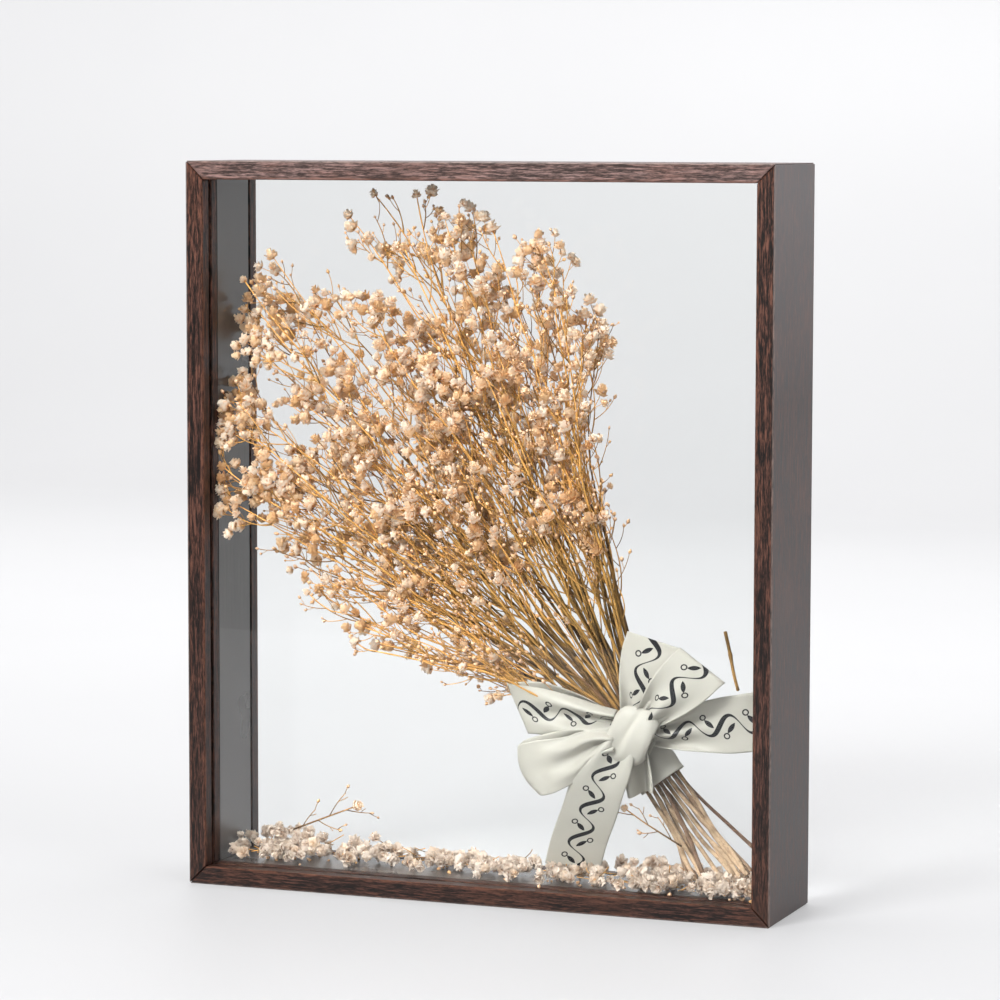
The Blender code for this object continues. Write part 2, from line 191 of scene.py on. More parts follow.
# ---- surfaces ----
class Heap:
    """Surfaces gathered into one mesh: points, four- and three-sided faces, and a value of each kind per point."""

    def __init__(self):
        self.points, self.quads, self.tris, self.looks, self.quad_slots, self.tri_slots = [], [], [], [], [], []
        self.count = 0

    def add(self, points, quads, tris, tint, rim, slot):
        """Adds one batch. quads and tris index the batch's own points."""
        points = np.asarray(points, float).reshape(-1, 3)
        self.points.append(points)
        self.quads.append(quads.reshape(-1, 4) + self.count)
        self.tris.append(tris.reshape(-1, 3) + self.count)
        looks = np.empty((len(points), 2))
        looks[:, 0], looks[:, 1] = np.ravel(tint), np.ravel(rim)
        self.looks.append(looks)
        self.quad_slots.append(np.full(len(self.quads[-1]), slot))
        self.tri_slots.append(np.full(len(self.tris[-1]), slot))
        self.count += len(points)

    def mesh(self, name):
        """The mesh, with the values as the attributes tint and rim."""
        made = mesh_of(name, np.vstack(self.points), np.vstack(self.quads), np.vstack(self.tris))
        for column, word in enumerate(("tint", "rim")):
            values = np.vstack(self.looks)[:, column].astype(np.float32)
            made.attributes.new(word, "FLOAT", "POINT").data.foreach_set("value", values)
        slots = np.concatenate(self.quad_slots + self.tri_slots).astype(np.int32)
        made.polygons.foreach_set("material_index", slots)
        return made


NO_TRIS = np.zeros((0, 3), int)


def mesh_of(name, points, quads, tris):
    """A smooth-shaded mesh from whole arrays of points and faces."""
    made = bpy.data.meshes.new(name)
    made.vertices.add(len(points))
    made.vertices.foreach_set("co", points.astype(np.float32).ravel())
    corners = np.concatenate([quads.ravel(), tris.ravel()]).astype(np.int32)
    made.loops.add(len(corners))
    made.loops.foreach_set("vertex_index", corners)
    starts = np.concatenate([np.arange(len(quads)) * 4, quads.size + np.arange(len(tris)) * 3])
    made.polygons.add(len(starts))
    made.polygons.foreach_set("loop_start", starts.astype(np.int32))
    made.update(calc_edges=True)
    made.validate()
    made.polygons.foreach_set("use_smooth", np.full(len(starts), True))
    return made


def grid_quads(rows, columns, wrap=False):
    """The faces of a grid of points, row by row. With wrap, the last column joins the first."""
    row = np.arange(rows - 1)[:, None] * columns
    column = np.arange(columns if wrap else columns - 1)[None, :]
    beside = (column + 1) % columns
    return np.stack([row + column, row + beside, row + columns + beside, row + columns + column], -1).reshape(-1, 4)


def pole_tris(sides, rings):
    """The fans that close a stack of rings, whose last two points are the poles of its first and last ring."""
    column = np.arange(sides)
    beside = (column + 1) % sides
    last = (rings - 1) * sides
    foot = np.stack([np.full(sides, rings * sides), beside, column], -1)
    tip = np.stack([np.full(sides, rings * sides + 1), last + column, last + beside], -1)
    return np.concatenate([foot, tip])


def add_rods(heap, paths, radii, tint, sides, rim=None):
    """Closed round rods. Ring k is the path's point k plus radius k (cos a side + sin a up); a pole closes each end.

    The rim value goes from 0 to 1 along a rod unless it is given.
    """
    count, steps, _ = paths.shape
    ahead = unit(np.gradient(paths, axis=1))
    helper = np.where(np.abs(ahead[..., 1:2]) > 0.9, [1.0, 0.0, 0.0], [0.0, 1.0, 0.0])
    side = unit(np.cross(ahead, helper))
    up = np.cross(ahead, side)
    turn = 2 * np.pi * np.arange(sides) / sides
    round_it = np.cos(turn)[:, None] * side[:, :, None, :] + np.sin(turn)[:, None] * up[:, :, None, :]
    rings = paths[:, :, None, :] + radii[:, :, None, None] * round_it
    foot_pole = paths[:, 0] - ahead[:, 0] * radii[:, :1] * 0.3
    tip_pole = paths[:, -1] + ahead[:, -1] * radii[:, -1:] * 0.5
    poles = np.stack([foot_pole, tip_pole], 1)
    points = np.concatenate([rings.reshape(count, -1, 3), poles], 1)
    start = (np.arange(count) * (steps * sides + 2))[:, None, None]
    quads = grid_quads(steps, sides, wrap=True)[None] + start
    tris = pole_tris(sides, steps)[None] + start
    tints = np.repeat(np.broadcast_to(tint, (count,)), steps * sides + 2)
    share = np.linspace(0, 1, steps) if rim is None else rim
    rims = np.tile(np.concatenate([np.repeat(share, sides), [share[0], share[-1]]]), count)
    heap.add(points, quads, tris, tints, rims, STALK_SLOT)


def add_copies(heap, shapes, which, places, ways, sizes, spins, tint, slot):
    """Copies of shapes that share their faces: each is scaled, spun about its own axis, and stood along its way."""
    points, quads, tris, rim = shapes
    ways = unit(ways)
    helper = np.where(np.abs(ways[:, 2:]) > 0.9, [1.0, 0.0, 0.0], [0.0, 0.0, 1.0])
    side = unit(np.cross(helper, ways))
    up = np.cross(ways, side)
    cos, sin = np.cos(spins)[:, None], np.sin(spins)[:, None]
    axes = np.stack([cos * side + sin * up, cos * up - sin * side, ways], 1)
    copies = np.einsum("nvk,nkj->nvj", points[which] * sizes[:, None, None], axes) + places[:, None, :]
    start = (np.arange(len(which)) * points.shape[1])[:, None, None]
    tints = np.repeat(tint, points.shape[1])
    heap.add(copies, quads[None] + start, tris[None] + start, tints, rim[which], slot)


def blossom_shapes(rng, variants=BLOSSOM_KINDS):
    """Small ruffled double blossoms, one unit in radius, opening along +Z from the calyx at the origin.

    Each petal is a strip that widens from the calyx to its middle and its tip; the lowest whorl bends back, and the
    two above stand ever steeper and close over each other into a ball.
    """
    # petals, radius and height of the middle, of the tip, half width of the middle, of the tip
    whorls = (
        (6, 0.66, -0.06, 1.00, 0.36, 0.42, 0.46),
        (5, 0.66, 0.46, 0.90, 0.92, 0.40, 0.44),
        (4, 0.32, 0.84, 0.50, 1.34, 0.30, 0.36),
    )
    petals = np.concatenate([np.tile(w[1:], (w[0], 1)) for w in whorls])
    turns = np.concatenate([(np.arange(w[0]) + 0.37 * i) / w[0] * 2 * np.pi for i, w in enumerate(whorls)])
    count = len(petals)
    turns = turns + rng.normal(0, 0.14, (variants, count))
    sizes = petals * (1 + rng.normal(0, 0.09, (variants, count, 6)))
    out = np.stack([np.cos(turns), np.sin(turns), np.zeros_like(turns)], -1)
    side = np.stack([-np.sin(turns), np.cos(turns), np.zeros_like(turns)], -1)
    up = np.array([0.0, 0.0, 1.0])

    def spot(radius, height, across):
        return out * radius[..., None] + up * height[..., None] + side * across[..., None]

    mid_r, mid_z, tip_r, tip_z, mid_w, tip_w = np.moveaxis(sizes, -1, 0)
    curl = rng.normal(0, 0.15, (variants, count))
    rows = [
        spot(mid_r * 0.12, mid_z * 0.1, mid_w * 0),
        spot(mid_r * 0.84, mid_z + 0.06, -mid_w),
        spot(mid_r * 1.10, mid_z - 0.04, mid_w * 0),
        spot(mid_r * 0.84, mid_z + 0.06, mid_w),
        spot(tip_r * 0.80 + curl, tip_z + 0.02, -tip_w),
        spot(tip_r * 1.02 - curl * 0.8, tip_z + 0.10, tip_w * 0),
        spot(tip_r * 0.80 - curl, tip_z - 0.02, tip_w),
    ]
    points = np.stack(rows, 2).reshape(variants, count * len(rows), 3)
    points += rng.normal(0, 0.05, points.shape)
    step = (np.arange(count) * len(rows))[:, None, None]
    quads = (np.array([[1, 2, 5, 4], [2, 3, 6, 5]]) + step).reshape(-1, 4)
    tris = (np.array([[0, 2, 1], [0, 3, 2]]) + step).reshape(-1, 3)
    rim = np.tile([0.0, 0.45, 0.50, 0.45, 1.0, 0.95, 1.0], count)
    # the calyx: a small closed cup
    sides, radius = 5, 0.24
    ring = 2 * np.pi * np.arange(sides) / sides
    cup = np.stack([radius * np.cos(ring), radius * np.sin(ring), np.full(sides, 0.18)], -1)
    cup = np.vstack([cup, [[0, 0, -0.28], [0, 0, 0.24]]])
    tris = np.vstack([tris, pole_tris(sides, 1) + points.shape[1]])
    points = np.concatenate([points, np.broadcast_to(cup, (variants, *cup.shape))], 1)
    rim = np.tile(np.concatenate([rim, np.full(len(cup), 0.02)]), (variants, 1))
    return points, quads, tris, rim


def bud_shapes(rng, variants=BUD_KINDS):
    """Closed buds: rings of points whose radius rises and falls between two poles."""
    sides = 5
    heights, radii = np.array([0.15, 0.75, 1.35]), np.array([0.42, 0.72, 0.42])
    turn = 2 * np.pi * (np.arange(sides)[None, :] + np.array([0, 0.5, 0])[:, None]) / sides
    flat = radii[:, None] * np.stack([np.cos(turn), np.sin(turn)])
    rings = np.stack([*flat, np.repeat(heights[:, None], sides, 1)], -1)
    points = np.vstack([rings.reshape(-1, 3), [[0, 0, -0.15], [0, 0, 1.7]]])
    points = points * (1 + rng.normal(0, 0.10, (variants, len(points), 1)))
    rim = np.tile(np.concatenate([np.repeat([0.1, 0.4, 0.7], sides), [0.0, 1.0]]), (variants, 1))
    return points, grid_quads(len(radii), sides, wrap=True), pole_tris(sides, len(radii)), rim


def add_piece(name, mesh, materials, node):
    """Links a piece that rides on the frame, in the looks of a slot of the record, in place of a node."""
    piece = bpy.data.objects.new(name, mesh)
    bpy.context.scene.collection.objects.link(piece)
    for material in materials:
        mesh.materials.append(material)
    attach(piece, "root")
    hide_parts(node)
    return piece


def add_heap(heap, prefix, node, materials):
    """Adds a heap as the piece that stands for a node, named after it."""
    name = prefix + node
    add_piece(name, heap.mesh(name), materials, node)


# ---- materials ----
class Finish:
    """A material and short ways to add and join its nodes."""

    def __init__(self, name):
        self.material = bpy.data.materials.new(name)
        self.material.use_nodes = True
        self.tree = self.material.node_tree
        self.shader = self.tree.nodes["Principled BSDF"]
        self.out = self.tree.nodes["Material Output"]

    def feed(self, socket, value):
        """Joins an input to a socket, or sets its constant. A colour may come without its alpha."""
        if isinstance(value, bpy.types.NodeSocket):
            self.tree.links.new(value, socket)
        elif socket.type == "RGBA":
            socket.default_value = (*value[:3], 1.0)
        else:
            socket.default_value = value

    def node(self, kind, inputs=(), **settings):
        """A node with its settings; inputs maps socket names or numbers to what feeds them."""
        made = self.tree.nodes.new("ShaderNode" + kind)
        for word, value in settings.items():
            setattr(made, word, value)
        for socket, value in dict(inputs).items():
            self.feed(made.inputs[socket], value)
        return made

    def sum(self, operation, *values):
        """The result of a Math node."""
        return self.node("Math", dict(enumerate(values)), operation=operation).outputs[0]

    def plus(self, first, second):
        """first + second."""
        return self.sum("ADD", first, second)

    def minus(self, first, second):
        """first - second."""
        return self.sum("SUBTRACT", first, second)

    def times(self, first, second):
        """first x second."""
        return self.sum("MULTIPLY", first, second)

    def size(self, value):
        """The value without its sign."""
        return self.sum("ABSOLUTE", value)

    def stretched(self, vector, scale):
        """Coordinates scaled by axis."""
        return self.node("Mapping", {"Vector": vector, "Scale": scale}).outputs[0]

    def along(self, run, on_run, across):
        """Object coordinates scaled by one factor on the axis of the grain and by another across it."""
        return self.stretched(self.place(), [on_run if axis == run else across for axis in "XYZ"])

    def axes(self, vector):
        """The x, y and z of a vector."""
        return list(self.node("SeparateXYZ", {0: vector}).outputs)

    def noise(self, vector, scale, detail=4.0, roughness=0.55, distortion=0.0):
        """The value of a Noise node."""
        inputs = {"Vector": vector, "Scale": scale, "Detail": detail, "Roughness": roughness, "Distortion": distortion}
        return self.node("TexNoise", inputs).outputs["Fac"]

    def ramp(self, value, *stops):
        """Colours by value; each stop is (position, (red, green, blue))."""
        made = self.node("ValToRGB", {"Fac": value})
        bar = made.color_ramp.elements
        for spot, (position, colour) in enumerate(stops):
            stop = bar[spot] if spot < 2 else bar.new(position)
            stop.position = position
            stop.color = (*colour, 1.0)
        return made.outputs["Color"]

    def mix(self, share, first, second):
        """A mix of two colours by a share. Sockets 6, 7 and 2 are the node's colours."""
        return self.node("Mix", {"Factor": share, 6: first, 7: second}, data_type="RGBA").outputs[2]

    def span(self, value, low, high, new_low=0.0, new_high=1.0):
        """A value moved from one range to another, and held within it."""
        inputs = {"Value": value, "From Min": low, "From Max": high, "To Min": new_low, "To Max": new_high}
        return self.node("MapRange", inputs).outputs[0]

    def bump(self, height, strength, distance):
        """Joins a height to the shader's normal."""
        inputs = {"Height": height, "Strength": strength, "Distance": distance}
        self.set(Normal=self.node("Bump", inputs).outputs["Normal"])

    def set(self, **values):
        """Feeds inputs of the shader, named with underscores for spaces."""
        for word, value in values.items():
            self.feed(self.shader.inputs[word.replace("_", " ")], value)

    def surface(self, share, first, second):
        """Joins a mix of two shaders to the output."""
        both = self.node("MixShader", {0: share, 1: first, 2: second})
        self.feed(self.out.inputs["Surface"], both.outputs[0])

    def glow(self, share, colour):
        """Lets a share of the light through, as thin petals and thin cloth do."""
        self.surface(share, self.shader.outputs[0], self.node("BsdfTranslucent", {"Color": colour}).outputs[0])

    def place(self):
        """Object coordinates."""
        return self.node("TexCoord").outputs["Object"]

    def value(self, name):
        """The value of a point attribute."""
        return self.node("Attribute", attribute_name=name, attribute_type="GEOMETRY").outputs["Fac"]


def stained_wood(name, run, settings, faded):
    """Dark stained wood whose grain runs along an axis: streaks, short flecked pores, and worn eased edges.

    The outer edges wear pale. A warm brown highlight is painted along the edges of the lip, and the wood is painted
    darker towards the bottom as shade. The top rail's wood is painted paler and mauve as light from above, and a grey
    painted sheen lies on the outer sides, stronger near the top as painted light.
    """
    f = Finish(name)
    place = f.place()
    streaks = f.noise(f.along(run, 1.0, 15.0), 60.0, 5.0, 0.66, 0.8)
    pores = f.noise(f.along(run, 0.7, 6.0), 330.0, 4.0, 0.7, 0.3)
    blotch = f.noise(place, 21.0, 3.0, 0.5)
    dark, pale, red = settings.wood_dark, settings.wood_pale, settings.wood_red
    # the top rail's colours are painted paler and mauve: painted light from above
    if faded:
        dark, pale, red = settings.top_lit_dark, settings.top_lit_pale, settings.top_lit_red
    both = f.plus(f.times(streaks, 0.55), f.times(pores, 0.45))
    low, high = (0.455, 0.605) if faded else (0.455, 0.600)
    between = [0.3 * a + 0.7 * b for a, b in zip(pale, dark)]
    base = f.ramp(both, (low, dark), (high, pale), (0.52, between))
    warm = f.mix(f.span(f.plus(blotch, pores), 1.0, 1.3, 0.0, 0.5), base, red)
    # distances from the outer faces, and from the lip's edge
    x, y, z = f.axes(place)
    # painted shade: the wood turns darker towards the bottom of the frame
    warm = f.mix(f.span(z, 0.02, 0.28, 0.45, 0.0), warm, dark)
    from_side = f.minus(float(HIGH[0]), f.size(x))
    from_face = f.minus(float(HIGH[1]), f.size(y))
    outer = f.sum("MINIMUM", from_side, f.sum("MINIMUM", z, f.minus(float(HIGH[2]), z)))
    # painted highlight: a warm brown along the edges of the lip, in the warm streak colour, broken up by the pores
    lip = f.times(f.span(outer, 0.0064, 0.0079), f.span(from_face, 0.0, 0.0020, 1.0, 0.0))
    highlighted_lip = f.mix(f.times(lip, f.span(pores, 0.42, 0.62, 0.1, 0.9)), warm, settings.wood_red)
    corner = f.span(f.sum("MAXIMUM", outer, from_face), 0.0001, 0.0008, 1.0, 0.0)
    scuffs = f.times(corner, f.span(pores, 0.35, 0.6, 0.1, 0.8))
    # painted sheen: the film mask puts a grey sheen on the outer sides, stronger near the top as painted light from
    # above
    film = f.times(f.span(from_side, 0.0003, 0.0008, 1.0, 0.0), f.span(z, 0.215, 0.305, 0.12, 0.42))
    sheened_sides = f.mix(film, highlighted_lip, settings.wood_side_sheen)
    f.set(Base_Color=f.mix(scuffs, sheened_sides, settings.wood_edge), Roughness=f.span(both, 0.35, 0.65, 0.38, 0.55))
    f.set(Coat_Weight=0.22 if faded else 0.12, Coat_Roughness=0.22, Specular_IOR_Level=0.30 if faded else 0.22)
    f.bump(both, 0.45, 0.00018)
    return f.material


def lacquered_lining(name, run, settings):
    """Dark lacquered lining strip: faint brushing along its length under a half-gloss coat, faint dust, and painted
    reflection towards its ends.
    """
    f = Finish(name)
    place = f.place()
    brushed = f.noise(f.along(run, 1.0, 30.0), 40.0, 4.0, 0.6)
    cloud = f.noise(place, 14.0, 3.0, 0.5)
    base = f.mix(f.span(brushed, 0.35, 0.7), settings.lining_dark, settings.lining_pale)
    # painted reflection: the linings turn paler towards their ends; the clouds add faint dust
    from_middle = f.size(f.minus(f.axes(place)[2], LINING_MIDDLE))
    ends = f.span(from_middle, 0.05, 0.15, 0.0, 0.75)
    dust_and_reflection = f.mix(f.plus(ends, f.span(cloud, 0.45, 0.75, 0.0, 0.22)), base, settings.lining_dust_and_reflection)
    f.set(Base_Color=dust_and_reflection, Roughness=f.span(cloud, 0.3, 0.7, 0.24, 0.36))
    f.set(Coat_Weight=0.5, Coat_Roughness=0.18, Specular_IOR_Level=0.4)
    f.bump(brushed, 0.18, 0.00006)
    return f.material


def pane_glass(name, settings):
    """A clear low-glare pane: glass that lamps shine through, with a green cast in its thickness and faint dust."""
    f = Finish(name)
    dust = f.noise(f.place(), 35.0, 5.0, 0.6)
    tint = f.mix(f.span(dust, 0.4, 0.8, 0.0, 0.06), settings.glass_tint, settings.glass_dust)
    f.set(Base_Color=tint, Transmission_Weight=1.0, Roughness=0.0, IOR=1.25)
    clear = f.node("BsdfTransparent", {"Color": settings.glass_tint})
    f.surface(f.node("LightPath").outputs["Is Shadow Ray"], f.shader.outputs[0], clear.outputs[0])
    return f.material


def dry_stalk(name, colours, roughness=0.6):
    """A dry stalk: its colour goes from foot to tip by the rim value and shifts from stalk to stalk by tint.

    The colours are those of the foot, the tip, the middle, the odd stalks and the flecks.
    """
    f = Finish(name)
    place = f.place()
    rim, tint = f.value("rim"), f.value("tint")
    cloud = f.noise(place, 160.0, 4.0, 0.6)
    wander = f.plus(rim, f.span(cloud, 0.2, 0.8, -0.22, 0.22))
    base = f.ramp(wander, *zip((0.0, 1.0, 0.50), colours[:3]))
    shifted = f.mix(f.span(tint, 0.45, 1.0, 0.0, 0.8), base, colours[3])
    speck = f.noise(place, 900.0, 2.0, 0.5)
    flecked = f.mix(f.span(speck, 0.55, 0.75, 0.0, 0.45), shifted, colours[4])
    f.set(Base_Color=flecked, Roughness=roughness, Specular_IOR_Level=0.22)
    f.bump(f.noise(f.stretched(place, (1, 1, 0.3)), 1400.0, 3.0), 0.4, 0.0002)
    return f.material


def dry_petals(name, settings, heart, middle, pale):
    """Papery petals: tan at the heart and darkened there as painted shade, cream at the rim, shifted by tint, with
    light showing through them.
    """
    f = Finish(name)
    place = f.place()
    rim, tint = f.value("rim"), f.value("tint")
    creases = f.noise(place, 1100.0, 3.0, 0.65, 0.5)
    wander = f.plus(rim, f.span(creases, 0.25, 0.75, -0.25, 0.25))
    base = f.ramp(wander, (0.0, heart), (0.68, pale), (0.32, middle))
    peach = f.mix(f.span(tint, 0.30, 0.75, 0.0, 0.75), base, settings.petal_peach)
    old = f.mix(f.span(tint, 0.72, 1.0, 0.0, 0.85), peach, settings.petal_old)
    f.set(Base_Color=old, Roughness=0.8, Specular_IOR_Level=0.2, Sheen_Weight=0.15, Sheen_Roughness=0.6)
    f.bump(creases, 0.9, 0.0006)
    f.glow(0.35, old)
    return f.material


def satin(name, settings, printed):
    """Woven satin on the ribbon's own map, whose unit is its width: warp lines, sheen, and a scroll if printed.

    The scroll is a wave with a swelling line, a leaf in each of its bends and a tendril ring beside each leaf.
    """
    f = Finish(name)
    uv = f.node("UVMap", uv_map="ribbon").outputs[0]
    along, across, _ = f.axes(uv)
    warp = f.noise(f.stretched(uv, (3.0, 90.0, 1.0)), 1.0, 2.0, 0.5)
    cloud = f.noise(f.place(), 60.0, 3.0, 0.5)
    cloth = f.mix(f.span(cloud, 0.3, 0.7), settings.satin_pale, settings.satin_shade)
    cloth = f.mix(f.span(warp, 0.45, 0.75, 0.0, 0.35), cloth, settings.satin_shade)
    selvedge = f.span(f.size(across), 0.455, 0.475, 0.0, 0.5)
    cloth = f.mix(selvedge, cloth, settings.satin_edge)
    if printed:
        cloth = f.mix(scroll(f, along, across), cloth, settings.ink)
    f.set(Base_Color=cloth, Roughness=f.span(warp, 0.3, 0.8, 0.34, 0.46))
    f.set(Sheen_Weight=0.08, Sheen_Roughness=0.35, Anisotropic=0.5, Specular_IOR_Level=0.3)
    f.bump(warp, 0.12, 0.00008)
    f.glow(0.33, cloth)
    return f.material


def scroll(f, along, across):
    """The share of ink: near the wave, in the leaves, or near the tendril rings. Lengths are in ribbon widths."""
    bends, swing = 1.35, 0.17  # waves per width, and how far they swing
    leaf_turn, leaf_half_length, leaf_half_width = 0.85, 0.115, 0.042
    ring_radius = 0.046
    turn = f.times(along, 2 * math.pi * bends)
    wave = f.times(f.sum("SINE", turn), swing)
    slope = f.times(f.sum("COSINE", turn), swing * 2 * math.pi * bends)
    steep = f.sum("SQRT", f.sum("MULTIPLY_ADD", slope, slope, 1.0))
    distance = f.sum("DIVIDE", f.size(f.minus(across, wave)), steep)
    swell = f.sum("MULTIPLY_ADD", slope, 0.013, 0.027)
    line = f.span(f.minus(distance, swell), -0.004, 0.004, 1.0, 0.0)
    # one cell per half wave, its side flipping each time
    cell = f.minus(f.sum("FRACT", f.times(along, 2 * bends)), 0.5)
    x = f.sum("DIVIDE", cell, 2 * bends)
    y = f.times(across, f.sum("SIGN", f.sum("SINE", turn)))
    leaf_x, leaf_y = f.minus(x, 0.008), f.plus(y, 0.055)
    cos, sin = math.cos(leaf_turn), math.sin(leaf_turn)
    u = f.plus(f.times(leaf_x, cos), f.times(leaf_y, sin))
    v = f.minus(f.times(leaf_y, cos), f.times(leaf_x, sin))
    reach = f.sum("POWER", f.sum("DIVIDE", f.size(u), leaf_half_length), 2.0)
    wide = f.times(f.sum("MAXIMUM", f.minus(1.0, reach), 0.0), leaf_half_width)
    leaf = f.span(f.minus(f.size(v), wide), -0.003, 0.003, 1.0, 0.0)
    leaf = f.times(leaf, f.span(reach, 0.98, 1.0, 1.0, 0.0))
    ring_x, ring_y = f.plus(x, 0.088), f.plus(y, 0.190)
    radius = f.sum("SQRT", f.sum("MULTIPLY_ADD", ring_x, ring_x, f.times(ring_y, ring_y)))
    ring = f.span(f.size(f.minus(radius, ring_radius)), 0.009, 0.015, 1.0, 0.0)
    return f.sum("MAXIMUM", f.sum("MAXIMUM", line, leaf), ring)


# ---- the bouquet ----
def stem_plan():
    """For each stem: its share across the bundle from -1 to 1, and its row, front row first."""
    shares, rows = [], []
    for row, count in enumerate((FRONT_ROW, len(STEMS) - FRONT_ROW)):
        offsets = (np.arange(count) - (count - 1) / 2) / ((FRONT_ROW - 1) / 2)
        shares.extend(offsets)
        rows.extend([row] * count)
    return np.array(shares), np.array(rows)


def stem_paths(rng, count=STEM_POINTS):
    """(stems, count, 3) routes from the cut ends through the tie to the first forks, crossing below the tie."""
    shares, rows = stem_plan()
    across = -np.cross(heading(BUNDLE_ANGLE), [0.0, 1.0, 0.0])
    along = heading(BUNDLE_ANGLE)
    half = (FRONT_ROW - 1) / 2 * STEM_PITCH
    routes = []
    for share, row in zip(shares, rows):
        middle = TIE + across * share * half + [0, TIE_Y[row], 0]
        below = middle - along * 0.028
        way = heading(307.5 + 6.5 * share + rng.normal(0, 5.2))
        foot = below + way * ((0.0115 + 0.0025 * (share + 1) + rng.uniform(-0.001, 0.0015) - below[2]) / way[2])
        foot[1] = FOOT_Y[row] + rng.uniform(-0.0016, 0.0016)
        above = middle + along * 0.012
        bend = above + along * 0.008
        fork = bend + heading(FAN_MIDDLE - FAN_HALF * share) * 0.022
        fork[1] = (0.0006, 0.0068)[row]
        bend[1] = (2 * TIE_Y[row] + fork[1]) / 3
        routes.append(smooth_rows([foot, below, middle, above, bend, fork], count))
    routes = np.array(routes)
    steps = np.linspace(0, 1, count)
    kinks = rng.uniform(0, 2 * np.pi, (len(routes), 2, 1))
    weight = np.interp(steps, [0, 0.15, 0.45, 0.65, 1], [1, 0.9, 0.15, 0.2, 0.3])
    routes[..., 0] += 0.0007 * weight * np.sin(steps * 17 + kinks[:, 0])
    routes[..., 2] += 0.0005 * weight * np.sin(steps * 23 + kinks[:, 1])
    return routes


def knuckles(count, nodes, height, rng, rods):
    """A factor on the radius that swells at evenly spread nodes along a rod."""
    steps = np.linspace(0, 1, count)
    phase = rng.uniform(0, 1, (rods, 1))
    near = np.abs((steps * nodes + phase) % 1 - 0.5)
    return 1 + height * np.exp(-((near / 0.07) ** 2))


def forks(rng, curves, shares, lengths, spread, depth, bend, count):
    """Twigs from each curve at the given shares, on alternate sides.

    Each leaves its parent at the spread angle, tilted to front or back by depth, and then turns part of the way back
    towards the parent's heading: p = start + length (t way + t^2 bend (parent - way)).
    """
    parents = len(curves)
    which = np.repeat(np.arange(parents), shares.shape[1])
    starts, ahead = spot_on(curves, which, shares.ravel())
    side_way = unit(np.cross(ahead, [0.0, 1.0, 0.0]))
    sign = np.where(np.arange(shares.shape[1]) % 2, 1.0, -1.0)[None] * rng.choice([-1.0, 1.0], (parents, 1))
    lean = np.radians(spread * rng.uniform(0.7, 1.3, shares.shape)) * sign
    way = ahead * np.cos(lean).reshape(-1, 1) + side_way * np.sin(lean).reshape(-1, 1)
    way[:, 1] += rng.normal(0, depth, len(way))
    way = unit(way)
    t = np.linspace(0, 1, count)[None, :, None]
    turn_back = (ahead - way)[:, None, :] * bend
    paths = starts[:, None, :] + lengths.reshape(-1, 1, 1) * (t * way[:, None, :] + t**2 * turn_back)
    return keep_inside(paths)


def crown_reach(angles):
    """How far the crown reaches at an angle."""
    return np.interp(angles, *zip(*CROWN))


